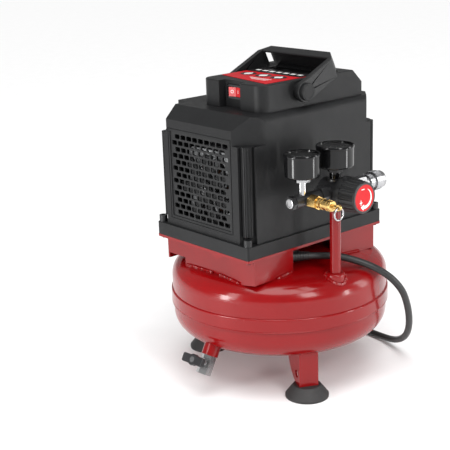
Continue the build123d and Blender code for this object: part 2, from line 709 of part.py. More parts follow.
# ---- control pod ------------------------------------------------------------------------------

NOTCH_FLOOR_X = POD_X[0] + SWITCH_NOTCH_DEPTH
SWITCH_Y = sum(SWITCH_NOTCH_Y) / 2
SWITCH_Z = 338.5
ROCKER_HEIGHT = 10.0
ROCKER_X = NOTCH_FLOOR_X + ROCKER_RADIUS * 0.5
BEZEL_DEPTH = 2.0
BEZEL_WINDOW = (20.8, 10.6)
BEZEL_SIZE = (25.0, 15.0)
BOSS_RADIUS = 10.0
PIN_RADIUS = 4.0
POD_CY, POD_D = sum(POD_Y) / 2, POD_Y[1] - POD_Y[0]

with BuildPart() as control_pod:
    with BuildSketch(Plane.XY.offset(COVER_TOP_Z)):
        with Locations(((POD_X[0] + GUARD_X) / 2, POD_CY)):
            Rectangle(GUARD_X - POD_X[0], POD_D)
    extrude(amount=POD_TOP_Z - COVER_TOP_Z)
    left_edges = control_pod.edges().filter_by(Axis.Z).group_by(Axis.X)[0]
    fillet(left_edges, 13.0)
    with BuildSketch(Plane.XY.offset(COVER_TOP_Z)):
        with Locations(((GUARD_X + POD_X[1]) / 2, (POD_Y[0] + GUARD_BACK_Y) / 2)):
            Rectangle(POD_X[1] - GUARD_X, GUARD_BACK_Y - POD_Y[0])
    extrude(amount=POD_TOP_Z - COVER_TOP_Z)
    guard_top = control_pod.edges().filter_by(Axis.Y).group_by(Axis.Z)[-1].sort_by(Axis.X)[-1]
    chamfer(guard_top, BEVEL)
    with BuildSketch(Plane.XY.offset(COVER_TOP_Z)):
        with Locations((NOTCH_FLOOR_X - SWITCH_NOTCH_DEPTH / 2, SWITCH_Y)):
            Rectangle(SWITCH_NOTCH_DEPTH, SWITCH_NOTCH_Y[1] - SWITCH_NOTCH_Y[0])
    extrude(amount=POD_TOP_Z - COVER_TOP_Z, mode=Mode.SUBTRACT)
    pod_top = control_pod.faces().filter_by(Axis.Z).group_by(Axis.Z)[-1]
    fillet(pod_top.edges().filter_by(Axis.X, reverse=True).group_by(Axis.X)[0], 1.2)
    # finger pocket under the parked handle
    with BuildSketch(Plane.XY.offset(COVER_TOP_Z + POD_WALL)):
        with Locations((sum(POCKET_X) / 2, sum(POCKET_Y) / 2)):
            RectangleRounded(POCKET_X[1] - POCKET_X[0], POCKET_Y[1] - POCKET_Y[0], 5.0)
    extrude(amount=POD_TOP_Z - COVER_TOP_Z, mode=Mode.SUBTRACT)
    # hollow underside, walled round the pocket and the switch notch
    with BuildSketch(Plane.XY.offset(COVER_TOP_Z)):
        with Locations(((NOTCH_FLOOR_X + POCKET_X[0]) / 2, POD_CY)):
            Rectangle(POCKET_X[0] - NOTCH_FLOOR_X - 2 * POD_WALL, POD_D - 2 * POD_WALL)
        with Locations(((GUARD_X + POD_X[1]) / 2, (POD_Y[0] + GUARD_BACK_Y) / 2)):
            Rectangle(POD_X[1] - GUARD_X - 2 * POD_WALL, GUARD_BACK_Y - POD_Y[0] - 2 * POD_WALL)
    extrude(amount=POD_TOP_Z - COVER_TOP_Z - BEVEL - POD_WALL, mode=Mode.SUBTRACT)
    with BuildSketch(Plane.XY.offset(COVER_TOP_Z)):
        with Locations(((NOTCH_FLOOR_X + POCKET_X[0]) / 2, POD_CY)):
            Rectangle(POCKET_X[0] - NOTCH_FLOOR_X - 2 * POD_WALL, POD_D - 2 * POD_WALL)
    extrude(amount=POD_TOP_Z - COVER_TOP_Z - POD_WALL, mode=Mode.SUBTRACT)
    # opening for the rocker switch, through the notch's back wall
    with BuildSketch(Plane.YZ.offset(NOTCH_FLOOR_X)):
        with Locations((SWITCH_Y, SWITCH_Z)):
            Rectangle(2 * ROCKER_RADIUS + 1, ROCKER_HEIGHT + 1)
    extrude(amount=ROCKER_RADIUS * 1.6, mode=Mode.SUBTRACT)
    # pivot bosses and pins of the handle, front and back
    for y_face, side in ((POD_Y[0], -1), (POD_Y[1], 1)):
        boss = Plane(origin=(PIVOT_X, y_face, PIVOT_Z), z_dir=(0, side, 0))
        with BuildSketch(boss.offset(-POD_WALL)):
            Circle(BOSS_RADIUS)
        extrude(amount=POD_WALL + 3.7)
        with BuildSketch(boss):
            Circle(PIN_RADIUS)
        extrude(amount=10.3)
save(control_pod.part, "control_pod")

LABEL_SHEET = 0.4
LABEL_BACK = ((-52.0, 31.0), (8.0, 31.0))
LABEL_FRONT = ((8.0, -55.0), (-66.0, -55.0))
with BuildPart() as pod_label:
    with BuildSketch(Plane.XY.offset(POD_TOP_Z)):
        Polygon(*LABEL_BACK, *LABEL_FRONT, align=None)
    extrude(amount=LABEL_SHEET)
save(pod_label.part, "pod_label")

with BuildPart() as rocker_bezel:
    with BuildSketch(Plane.YZ.offset(NOTCH_FLOOR_X - BEZEL_DEPTH)):
        with Locations((SWITCH_Y, SWITCH_Z)):
            RectangleRounded(*BEZEL_SIZE, 1.0)
            Rectangle(*BEZEL_WINDOW, mode=Mode.SUBTRACT)
    extrude(amount=BEZEL_DEPTH)
save(rocker_bezel.part, "rocker_bezel")

ROCKER_END = 43.0
ROCKER_DIP = 7.0
with BuildPart() as rocker_switch:
    with BuildSketch(Plane(origin=(ROCKER_X, SWITCH_Y, SWITCH_Z - ROCKER_HEIGHT / 2))):
        with BuildLine():
            ends = [polar(ROCKER_RADIUS, 180 + s * ROCKER_END + ROCKER_TILT) for s in (1, -1)]
            dip = polar(ROCKER_DIP, 180 + ROCKER_TILT)
            back = [polar(5.0, ROCKER_TILT + s * 60) for s in (1, -1)]
            Polyline(ends[0], dip, ends[1], back[0])
            ThreePointArc(back[0], polar(5.0, ROCKER_TILT), back[1])
            Line(back[1], ends[0])
        make_face()
    extrude(amount=ROCKER_HEIGHT)
save(rocker_switch.part, "rocker_switch")

# ---- carrying handle --------------------------------------------------------------------------

handle_dir = Vector(cos(radians(HANDLE_REST_DEG)), 0, sin(radians(HANDLE_REST_DEG)))
HANDLE = Plane(origin=(PIVOT_X, 0, PIVOT_Z), x_dir=handle_dir, z_dir=(0, -1, 0))
FLANGE = 3.0
GRIP_DEPTH = 11.0
CORNER_CUT = 12.0
GRIP_Y = (-52.0, 25.0)
handle_mid_y, handle_span = sum(HANDLE_Y) / 2, HANDLE_Y[1] - HANDLE_Y[0]

with BuildPart() as carry_handle:
    # two flat arms with a round eye on the pivot pin
    for y_inner, side in ((HANDLE_Y[0] + HANDLE_ARM, 1), (HANDLE_Y[1], 1)):
        arm = Plane(origin=(PIVOT_X, y_inner, PIVOT_Z), x_dir=handle_dir, z_dir=(0, -1, 0))
        with BuildSketch(arm):
            Circle(HANDLE_WIDTH / 2)
            with Locations((HANDLE_REACH / 2, 0)):
                Rectangle(HANDLE_REACH, HANDLE_WIDTH)
            Circle(PIN_RADIUS + RUNNING_GAP, mode=Mode.SUBTRACT)
        extrude(amount=HANDLE_ARM)
    # channel crossbar: outer web, full upper flange, and a lower flange as long as a hand's grip
    with BuildSketch(HANDLE.offset(-HANDLE_Y[1])):
        with Locations((HANDLE_REACH - FLANGE / 2, 0)):
            Rectangle(FLANGE, HANDLE_WIDTH)
        with Locations((HANDLE_REACH - GRIP_DEPTH / 2, (HANDLE_WIDTH - FLANGE) / 2)):
            Rectangle(GRIP_DEPTH, FLANGE)
    extrude(amount=handle_span)
    with BuildSketch(HANDLE.offset(-GRIP_Y[1])):
        with Locations((HANDLE_REACH - GRIP_DEPTH / 2, (FLANGE - HANDLE_WIDTH) / 2)):
            Rectangle(GRIP_DEPTH, FLANGE)
    extrude(amount=GRIP_Y[1] - GRIP_Y[0])
    # cut the outer corners at 45 degrees
    cut_top = Plane(origin=HANDLE.origin, x_dir=handle_dir, z_dir=HANDLE.y_dir)
    for y_edge, side in ((HANDLE_Y[0], 1), (HANDLE_Y[1], -1)):
        with BuildSketch(cut_top.offset(-HANDLE_WIDTH)):
            corner = cut_top.to_local_coords(
                Vector(PIVOT_X, y_edge, PIVOT_Z) + handle_dir * HANDLE_REACH
            )
            way = 1 if cut_top.y_dir.Y * side > 0 else -1
            Polygon(
                (corner.X, corner.Y),
                (corner.X - CORNER_CUT, corner.Y),
                (corner.X, corner.Y + way * CORNER_CUT),
                align=None,
            )
        extrude(amount=2 * HANDLE_WIDTH, mode=Mode.SUBTRACT)
save(carry_handle.part, "carry_handle")

CAP_RADIUS = 9.5
CAP_DEPTH = 3.5
with BuildPart() as handle_pivot_caps:
    for y_face, side in ((HANDLE_Y[0] - AXIS_PLAIN, -1), (HANDLE_Y[1] + AXIS_PLAIN, 1)):
        cap = Plane(origin=(PIVOT_X, y_face, PIVOT_Z), z_dir=(0, side, 0))
        with BuildSketch(cap):
            Circle(CAP_RADIUS)
        extrude(amount=CAP_DEPTH)
    fillet(handle_pivot_caps.edges().group_by(Axis.Y)[0], 0.8)
    fillet(handle_pivot_caps.edges().group_by(Axis.Y)[-1], 0.8)
save(handle_pivot_caps.part, "handle_pivot_caps")

# ---- riser, regulator and manifold --------------------------------------------------------------

REG_RADIUS = 14.0
REG_Y = (-122.0, -94.0)
BONNET_RADIUS = 12.0
BONNET_Y = -144.0
SOCKET_RADIUS = 8.0
MANIFOLD_RADIUS = 7.0
MANIFOLD_X = (-80.0, RISER_X - REG_RADIUS - 3.0)
OUTLET_X = 14.0
AIR_BORE = 3.5
REG_BOTTOM_Z = AIR_Z - REG_RADIUS - 7.0
POST_TOP_Z = 255.0
COLLAR_RADIUS = 10.5

with BuildPart() as riser_tube:
    with BuildSketch(Plane.XY.offset(SEAM_Z + UPPER_STRAIGHT)):
        with Locations((RISER_X, AIR_Y)):
            Circle(RISER_RADIUS)
    extrude(amount=REG_BOTTOM_Z - SEAM_Z - UPPER_STRAIGHT)
    collar_z = dome_z(sqrt(RISER_X**2 + AIR_Y**2))
    with BuildSketch(Plane.XY.offset(collar_z - 7)):
        with Locations((RISER_X, AIR_Y)):
            Circle(COLLAR_RADIUS)
    extrude(amount=12.0)
    collar_rims = riser_tube.edges().filter_by(GeomType.CIRCLE).filter_by(
        lambda edge: edge.radius > COLLAR_RADIUS - 1
    )
    fillet(collar_rims.sort_by(Axis.Z)[-1], 3.0)
    add(TANK_SOLID, mode=Mode.SUBTRACT)
    with Locations((RISER_X, AIR_Y, REG_BOTTOM_Z)):
        Hole(AIR_BORE, depth=100)
save(riser_tube.part, "riser_tube")

with BuildPart() as regulator_body:
    with BuildSketch(Plane(origin=(RISER_X, REG_Y[1], AIR_Z), z_dir=(0, -1, 0))):
        Circle(REG_RADIUS)
    extrude(amount=REG_Y[1] - REG_Y[0])
    with BuildSketch(Plane(origin=(RISER_X, REG_Y[0], AIR_Z), z_dir=(0, -1, 0))):
        Circle(BONNET_RADIUS)
    extrude(amount=REG_Y[0] - BONNET_Y)
    with BuildSketch(Plane.XY.offset(REG_BOTTOM_Z)):
        with Locations((RISER_X, AIR_Y)):
            Circle(SOCKET_RADIUS)
    extrude(amount=POST_TOP_Z - 6 - REG_BOTTOM_Z)
    with BuildSketch(Plane.YZ.offset(RISER_X)):
        with Locations((AIR_Y, AIR_Z)):
            Circle(SOCKET_RADIUS + 1.5)
    extrude(amount=OUTLET_X - RISER_X)
    with BuildSketch(Plane.YZ.offset(MANIFOLD_X[1])):
        with Locations((AIR_Y, AIR_Z)):
            Circle(SOCKET_RADIUS + 1)
    extrude(amount=RISER_X - MANIFOLD_X[1])
    with BuildSketch(Plane.YZ.offset(MANIFOLD_X[1])):
        with Locations((AIR_Y, AIR_Z)):
            Circle(AIR_BORE)
    extrude(amount=OUTLET_X - MANIFOLD_X[1], mode=Mode.SUBTRACT)
    with Locations((RISER_X, AIR_Y, POST_TOP_Z - 6)):
        Hole(AIR_BORE, depth=POST_TOP_Z - 6 - REG_BOTTOM_Z)
save(regulator_body.part, "regulator_body")

KNOB_LENGTH = 27.7
KNOB_REAR_RADIUS = 19.2
KNOB_RIM = 3.5
KNOB_RIBS = 24
RIB_GROOVE = 1.3
GROOVE_START = 2.5
KNOB_DISC_RADIUS = 14.2
DISC_SHEET = 1.2
SOCKET_DEPTH = 4.0
knob_front = Plane(origin=(RISER_X, KNOB_FRONT_Y, AIR_Z), z_dir=(0, 1, 0))


def knob_groove(around):
    """Plane at the front end of one grip groove, looking along the knob's taper."""
    front = polar(KNOB_RADIUS + RIB_GROOVE / 2, around)
    rear = polar(KNOB_REAR_RADIUS + RIB_GROOVE / 2, around)
    start = knob_front.from_local_coords(Vector(*front, GROOVE_START))
    end = knob_front.from_local_coords(Vector(*rear, KNOB_LENGTH))
    return Plane(origin=start, z_dir=end - start)


with BuildPart() as regulator_knob:
    with BuildSketch(knob_front):
        Circle(KNOB_RADIUS)
    with BuildSketch(knob_front.offset(KNOB_LENGTH - KNOB_RIM)):
        Circle(KNOB_REAR_RADIUS)
    loft()
    with BuildSketch(knob_front.offset(KNOB_LENGTH - KNOB_RIM)):
        Circle(KNOB_REAR_RADIUS)
    extrude(amount=KNOB_RIM)
    fillet(regulator_knob.edges().group_by(Axis.Y)[0], 1.2)
    with BuildSketch(*[knob_groove(360 / KNOB_RIBS * rib) for rib in range(KNOB_RIBS)]):
        Circle(RIB_GROOVE)
    extrude(amount=KNOB_LENGTH - GROOVE_START - 2 * KNOB_RIM, mode=Mode.SUBTRACT)
    with BuildSketch(knob_front):
        Circle(KNOB_DISC_RADIUS)
    extrude(amount=DISC_SHEET, mode=Mode.SUBTRACT)
    with BuildSketch(knob_front.offset(SOCKET_DEPTH)):
        Circle(BONNET_RADIUS + RUNNING_GAP)
    extrude(amount=KNOB_LENGTH, mode=Mode.SUBTRACT)
save(regulator_knob.part, "regulator_knob")

with BuildPart() as knob_disc:
    with BuildSketch(knob_front):
        Circle(KNOB_DISC_RADIUS)
    extrude(amount=DISC_SHEET)
save(knob_disc.part, "knob_disc")

with BuildPart() as manifold_tube:
    with BuildSketch(Plane.YZ.offset(MANIFOLD_X[0])):
        with Locations((AIR_Y, AIR_Z)):
            Circle(MANIFOLD_RADIUS)
    extrude(amount=MANIFOLD_X[1] - MANIFOLD_X[0])
    with BuildSketch(Plane.YZ.offset(MANIFOLD_X[1] - 9)):
        with Locations((AIR_Y, AIR_Z)):
            RegularPolygon(8.5, 6, major_radius=False)
    extrude(amount=9)
    with BuildSketch(Plane(origin=(SAFETY_X, AIR_Y, AIR_Z), z_dir=(0, -1, 0))):
        Circle(6.0)
    extrude(amount=9.0)
    with BuildSketch(Plane.YZ.offset(MANIFOLD_X[0])):
        with Locations((AIR_Y, AIR_Z)):
            Circle(AIR_BORE)
    extrude(amount=MANIFOLD_X[1] - MANIFOLD_X[0], mode=Mode.SUBTRACT)
save(manifold_tube.part, "manifold_tube")

with BuildPart() as manifold_end_plug:
    with BuildSketch(Plane.YZ.offset(MANIFOLD_X[0] - 5)):
        with Locations((AIR_Y, AIR_Z)):
            RegularPolygon(6.5, 6, major_radius=False)
    extrude(amount=5)
    with BuildSketch(Plane.YZ.offset(MANIFOLD_X[0])):
        with Locations((AIR_Y, AIR_Z)):
            Circle(AIR_BORE)
    extrude(amount=6)
save(manifold_end_plug.part, "manifold_end_plug")

# ---- gauges -------------------------------------------------------------------------------------

GAUGE_WALL = 1.4
DIAL_DROP = 8.0
LENS_DROP = 1.0
LENS_SHEET = 1.5
NEEDLE_LENGTH = 12.0
TANK_GAUGE_RADIUS = 18.7
OUTLET_GAUGE_RADIUS = 20.0
TANK_CASE_Z = (260.0, 284.5)
OUTLET_CASE_Z = (262.0, 285.5)
gauges = {
    "tank_gauge": (TANK_GAUGE_X, TANK_GAUGE_RADIUS, TANK_CASE_Z, AIR_Z + MANIFOLD_RADIUS - 1, 4.3),
    "outlet_gauge": (RISER_X, OUTLET_GAUGE_RADIUS, OUTLET_CASE_Z, POST_TOP_Z - 6, 5.6),
}
NUT_HEIGHT = 5.5
GAUGE_NUT = 7.2


def case_rims(radius):
    """The outer rims of the gauge case of one radius, from the bottom up."""
    circles = gauge_cases.edges().filter_by(GeomType.CIRCLE)
    return circles.filter_by(lambda edge: abs(edge.radius - radius) < RUNNING_GAP).sort_by(Axis.Z)


with BuildPart() as gauge_cases:
    for x, radius, (z0, z1), stem_z, stem_radius in gauges.values():
        with BuildSketch(Plane.XY.offset(z0)):
            with Locations((x, AIR_Y)):
                Circle(radius)
        extrude(amount=z1 - z0)
        fillet(case_rims(radius)[0], 2.0)
        fillet(case_rims(radius)[-1], 0.8)
        with BuildSketch(Plane.XY.offset(z1 - DIAL_DROP - 1)):
            with Locations((x, AIR_Y)):
                Circle(radius - GAUGE_WALL)
        extrude(amount=DIAL_DROP + 1, mode=Mode.SUBTRACT)
save(gauge_cases.part, "gauge_cases")

for name, (x, radius, (z0, z1), stem_z, stem_radius) in gauges.items():
    with BuildPart() as gauge_stem:
        with BuildSketch(Plane.XY.offset(stem_z)):
            with Locations((x, AIR_Y)):
                Circle(stem_radius)
        extrude(amount=z0 - NUT_HEIGHT - stem_z)
        with BuildSketch(Plane.XY.offset(z0 - NUT_HEIGHT)):
            with Locations((x, AIR_Y)):
                RegularPolygon(GAUGE_NUT, 6, major_radius=False)
        extrude(amount=NUT_HEIGHT)
        with BuildSketch(Plane.YZ.offset(MANIFOLD_X[0])):
            with Locations((AIR_Y, AIR_Z)):
                Circle(MANIFOLD_RADIUS)
        extrude(amount=MANIFOLD_X[1] - MANIFOLD_X[0], mode=Mode.SUBTRACT)
    save(gauge_stem.part, f"{name}_stem")

    with BuildPart() as gauge_needle:
        with BuildSketch(Plane.XY.offset(z1 - DIAL_DROP + 1.6)):
            with Locations((x, AIR_Y)):
                Circle(2.2)
                with Locations(Location((0, 0), 225)):
                    Polygon((-4, 1.0), (-4, -1.0), (NEEDLE_LENGTH, -0.35), (NEEDLE_LENGTH, 0.35), align=None)
                Circle(0.8 + RUNNING_GAP, mode=Mode.SUBTRACT)
        extrude(amount=0.8)
    save(gauge_needle.part, f"{name}_needle")

with BuildPart() as gauge_lenses:
    for x, radius, (z0, z1), stem_z, stem_radius in gauges.values():
        with BuildSketch(Plane.XY.offset(z1 - LENS_DROP - LENS_SHEET)):
            with Locations((x, AIR_Y)):
                Circle(radius - GAUGE_WALL)
        extrude(amount=LENS_SHEET)
save(gauge_lenses.part, "gauge_lenses")

with BuildPart() as gauge_dials:
    for x, radius, (z0, z1), stem_z, stem_radius in gauges.values():
        with BuildSketch(Plane.XY.offset(z1 - DIAL_DROP - 1)):
            with Locations((x, AIR_Y)):
                Circle(radius - GAUGE_WALL)
        extrude(amount=1.0)
        with BuildSketch(Plane.XY.offset(z1 - DIAL_DROP)):
            with Locations((x, AIR_Y)):
                Circle(0.8)
        extrude(amount=3.4)
save(gauge_dials.part, "gauge_dials")

# ---- safety valve -------------------------------------------------------------------------------

SAFETY_ROOT_Y = AIR_Y - 9.0
SAFETY_HEX_Y = SAFETY_ROOT_Y - 11.0
SAFETY_END_Y = SAFETY_ROOT_Y - 31.0
SAFETY_STEM_RADIUS = 2.0
EYE_Y = SAFETY_END_Y - 8.0
EYE_RADIUS = 3.2
RING_RADIUS = 6.3
RING_WIRE = 0.9
RING_HOLE = 1.6

with BuildPart() as safety_valve_body:
    with BuildSketch(Plane(origin=(SAFETY_X, SAFETY_ROOT_Y, AIR_Z), z_dir=(0, -1, 0))):
        RegularPolygon(6.5, 6, major_radius=False)
    extrude(amount=SAFETY_ROOT_Y - SAFETY_HEX_Y)
    with BuildSketch(Plane(origin=(SAFETY_X, SAFETY_HEX_Y, AIR_Z), z_dir=(0, -1, 0))):
        Circle(5.6)
    extrude(amount=SAFETY_HEX_Y - SAFETY_END_Y)
    fillet(safety_valve_body.edges().group_by(Axis.Y)[0], 1.0)
    with BuildSketch(Plane(origin=(SAFETY_X, SAFETY_END_Y, AIR_Z), z_dir=(0, 1, 0))):
        Circle(SAFETY_STEM_RADIUS + RUNNING_GAP)
    extrude(amount=26.0, mode=Mode.SUBTRACT)
    with Locations(Plane(origin=(SAFETY_X, SAFETY_HEX_Y - 5, AIR_Z), z_dir=(-1, 0, 0))):
        Hole(1.8, depth=7)
save(safety_valve_body.part, "safety_valve_body")

with BuildPart() as safety_valve_stem:
    with BuildSketch(Plane(origin=(SAFETY_X, EYE_Y + 2, AIR_Z), z_dir=(0, 1, 0))):
        Circle(SAFETY_STEM_RADIUS)
    extrude(amount=26.0)
    with BuildSketch(Plane(origin=(SAFETY_X, EYE_Y, AIR_Z), z_dir=(1, 0, 0))):
        Circle(EYE_RADIUS)
    extrude(amount=1.2, both=True)
    with BuildSketch(Plane(origin=(SAFETY_X, EYE_Y, AIR_Z), z_dir=(1, 0, 0))):
        Circle(RING_HOLE)
    extrude(amount=5, both=True, mode=Mode.SUBTRACT)
save(safety_valve_stem.part, "safety_valve_stem")

with BuildPart() as safety_pull_ring:
    ring_centre = (SAFETY_X, EYE_Y, AIR_Z - RING_RADIUS - RING_HOLE + RING_WIRE + 0.25)
    with Locations(Location(ring_centre, (90, 0, 0))):
        Torus(RING_RADIUS, RING_WIRE)
save(safety_pull_ring.part, "safety_pull_ring")

# ---- quick coupler --------------------------------------------------------------------------------

COUPLER_BORE = 4.1
COUPLER_BODY_RADIUS = 7.5
COUPLER_NUT = 8.6
COUPLER_NUT_LENGTH = 12.0
COUPLER_LIP = 9.6
COUPLER_END_X = 55.0
SOCKET_DEPTH_X = 17.0
SLEEVE_X = (31.0, 50.4)
SLEEVE_RADIUS = 8.9
COLLAR_X = 39.5
SLEEVE_COLLAR = 10.7
with BuildPart() as coupler_body:
    with BuildSketch(Plane.YZ.offset(OUTLET_X)):
        with Locations((AIR_Y, AIR_Z)):
            RegularPolygon(COUPLER_NUT, 6, major_radius=False)
    extrude(amount=COUPLER_NUT_LENGTH)
    with BuildSketch(Plane.YZ.offset(OUTLET_X + COUPLER_NUT_LENGTH)):
        with Locations((AIR_Y, AIR_Z)):
            Circle(COUPLER_BODY_RADIUS)
    extrude(amount=COUPLER_END_X - OUTLET_X - COUPLER_NUT_LENGTH)
    with BuildSketch(Plane.YZ.offset(SLEEVE_X[1] + AXIS_PLAIN)):
        with Locations((AIR_Y, AIR_Z)):
            Circle(COUPLER_LIP)
    extrude(amount=COUPLER_END_X - SLEEVE_X[1] - AXIS_PLAIN)
    fillet(coupler_body.edges().group_by(Axis.X)[-1], 0.8)
    with BuildSketch(Plane.YZ.offset(OUTLET_X + SOCKET_DEPTH_X)):
        with Locations((AIR_Y, AIR_Z)):
            Circle(COUPLER_BORE)
    extrude(amount=COUPLER_END_X, mode=Mode.SUBTRACT)
    with BuildSketch(Plane.YZ.offset(OUTLET_X)):
        with Locations((AIR_Y, AIR_Z)):
            Circle(AIR_BORE - 1)
    extrude(amount=COUPLER_END_X, mode=Mode.SUBTRACT)
save(coupler_body.part, "coupler_body")

with BuildPart() as coupler_sleeve:
    with BuildSketch(Plane.YZ.offset(SLEEVE_X[0])):
        with Locations((AIR_Y, AIR_Z)):
            Circle(SLEEVE_RADIUS)
    extrude(amount=COLLAR_X - SLEEVE_X[0])
    with BuildSketch(Plane.YZ.offset(COLLAR_X)):
        with Locations((AIR_Y, AIR_Z)):
            Circle(SLEEVE_COLLAR)
    extrude(amount=SLEEVE_X[1] - COLLAR_X)
    fillet(coupler_sleeve.edges().group_by(Axis.X)[-1], 0.8)
    with BuildSketch(Plane.YZ.offset(SLEEVE_X[0])):
        with Locations((AIR_Y, AIR_Z)):
            Circle(COUPLER_BODY_RADIUS + RUNNING_GAP)
    extrude(amount=SLEEVE_X[1] - SLEEVE_X[0], mode=Mode.SUBTRACT)
save(coupler_sleeve.part, "coupler_sleeve")

# ---- motor and pump -------------------------------------------------------------------------------

STATOR_X = (-70.0, -24.0)
STATOR_SIZE = 84.0
ROTOR_RADIUS = 25.0
AIR_GAP = 0.4
WINDING_LENGTH = 10.0
SHIELD_X = (-88.0, -84.0)
BEARING_RADIUS = 9.0
BEARING_WIDTH = 6.0
FAN_X = (-103.0, -92.0)
FAN_RADIUS = 41.0
FAN_BLADES = 7
CRANKCASE_X = (-12.0, 44.0)
CRANKCASE_Y = (-27.0, 43.0)
CRANKCASE_Z = (198.0, 262.0)
CASE_WALL = 6.0
CYLINDER_WALL = 3.0
CRADLE_Z = TRAY_TOP_Z - TRAY_HEIGHT + COVER_WALL
CYLINDER_TOP_Z = 296.0
shaft_plane = Plane(origin=(0, SHAFT_Y, SHAFT_Z), x_dir=(0, 1, 0), z_dir=(1, 0, 0))

with BuildPart() as motor_stator:
    with BuildSketch(shaft_plane.offset(STATOR_X[0])):
        RectangleRounded(STATOR_SIZE, STATOR_SIZE, 10)
        Circle(ROTOR_RADIUS + AIR_GAP, mode=Mode.SUBTRACT)
        with GridLocations(STATOR_SIZE - 14, STATOR_SIZE - 14, 2, 2):
            Circle(2.5, mode=Mode.SUBTRACT)
    extrude(amount=STATOR_X[1] - STATOR_X[0])
save(motor_stator.part, "motor_stator")

with BuildPart() as motor_windings:
    for x0 in (STATOR_X[0] - WINDING_LENGTH, STATOR_X[1]):
        with BuildSketch(shaft_plane.offset(x0)):
            Circle(38)
            Circle(28, mode=Mode.SUBTRACT)
        extrude(amount=WINDING_LENGTH)
save(motor_windings.part, "motor_windings")

with BuildPart() as motor_end_shield:
    with BuildSketch(shaft_plane.offset(SHIELD_X[0])):
        RectangleRounded(STATOR_SIZE, STATOR_SIZE, 10)
        Circle(BEARING_RADIUS, mode=Mode.SUBTRACT)
        with PolarLocations(26, 6):
            Circle(7, mode=Mode.SUBTRACT)
    extrude(amount=SHIELD_X[1] - SHIELD_X[0])
    with BuildSketch(shaft_plane.offset(SHIELD_X[1])):
        with GridLocations(STATOR_SIZE - 14, STATOR_SIZE - 14, 2, 2):
            Circle(5)
    extrude(amount=STATOR_X[0] - SHIELD_X[1])
save(motor_end_shield.part, "motor_end_shield")

with BuildPart() as shaft_bearings:
    for x0 in (SHIELD_X[0] - 1, CRANKCASE_X[0]):
        with BuildSketch(shaft_plane.offset(x0)):
            Circle(BEARING_RADIUS)
            Circle(SHAFT_RADIUS + RUNNING_GAP, mode=Mode.SUBTRACT)
        extrude(amount=BEARING_WIDTH)
save(shaft_bearings.part, "shaft_bearings")

WEB_X = (-2.0, 8.0)
WEB_RADIUS = 18.0
CRANK_PIN_RADIUS = 5.0
CRANK_PIN_END = 23.0
with BuildPart() as motor_rotor:
    with BuildSketch(shaft_plane.offset(FAN_X[0] - 1)):
        Circle(SHAFT_RADIUS)
    extrude(amount=WEB_X[0] - FAN_X[0] + 1)
    with BuildSketch(shaft_plane.offset(STATOR_X[0])):
        Circle(ROTOR_RADIUS)
    extrude(amount=STATOR_X[1] - STATOR_X[0])
save(motor_rotor.part, "motor_rotor")

with BuildPart() as crank_eccentric:
    with BuildSketch(shaft_plane.offset(WEB_X[0])):
        Circle(11)
        with Locations((0, -6)):
            Circle(WEB_RADIUS - 4)
    extrude(amount=WEB_X[1] - WEB_X[0])
    with BuildSketch(shaft_plane.offset(WEB_X[1])):
        with Locations((0, CRANK_THROW)):
            Circle(CRANK_PIN_RADIUS)
    extrude(amount=CRANK_PIN_END - WEB_X[1])
save(crank_eccentric.part, "crank_eccentric")

with BuildPart() as cooling_fan:
    with BuildSketch(shaft_plane.offset(FAN_X[0])):
        Circle(12)
        Circle(SHAFT_RADIUS, mode=Mode.SUBTRACT)
    extrude(amount=FAN_X[1] - FAN_X[0])
    with BuildSketch(shaft_plane.offset(FAN_X[0] + 2)):
        for blade in range(FAN_BLADES):
            with Locations(Location((0, 0), blade * 360 / FAN_BLADES)):
                Polygon((10, -5), (FAN_RADIUS - 3, -11), (FAN_RADIUS, 3), (10, 5), align=None)
        Circle(SHAFT_RADIUS, mode=Mode.SUBTRACT)
    extrude(amount=3.0)
save(cooling_fan.part, "cooling_fan")

case_mid = (sum(CRANKCASE_Y) / 2, sum(CRANKCASE_Z) / 2)
case_size = (CRANKCASE_Y[1] - CRANKCASE_Y[0], CRANKCASE_Z[1] - CRANKCASE_Z[0])
with BuildPart() as crankcase:
    with BuildSketch(Plane.YZ.offset(CRANKCASE_X[0])):
        with Locations(case_mid):
            RectangleRounded(*case_size, 6)
    extrude(amount=CRANKCASE_X[1] - CRANKCASE_X[0])
    with BuildSketch(Plane.YZ.offset(CRANKCASE_X[0] + CASE_WALL)):
        with Locations(case_mid):
            RectangleRounded(case_size[0] - 2 * CASE_WALL, case_size[1] - 2 * CASE_WALL, 4)
    extrude(amount=CRANKCASE_X[1], mode=Mode.SUBTRACT)
    with BuildSketch(shaft_plane.offset(CRANKCASE_X[0])):
        Circle(BEARING_RADIUS)
    extrude(amount=CASE_WALL, mode=Mode.SUBTRACT)
    with BuildSketch(Plane.XY.offset(CRANKCASE_Z[1])):
        with Locations((CYLINDER_X, SHAFT_Y)):
            Circle(BORE_RADIUS + CYLINDER_WALL)
    extrude(amount=CYLINDER_TOP_Z - CRANKCASE_Z[1])
    with BuildSketch(Plane.XY.offset(CYLINDER_TOP_Z)):
        with Locations((CYLINDER_X, SHAFT_Y)):
            Circle(BORE_RADIUS)
    extrude(amount=CRANKCASE_Z[1] - CASE_WALL - CYLINDER_TOP_Z, mode=Mode.SUBTRACT)
save(crankcase.part, "crankcase")

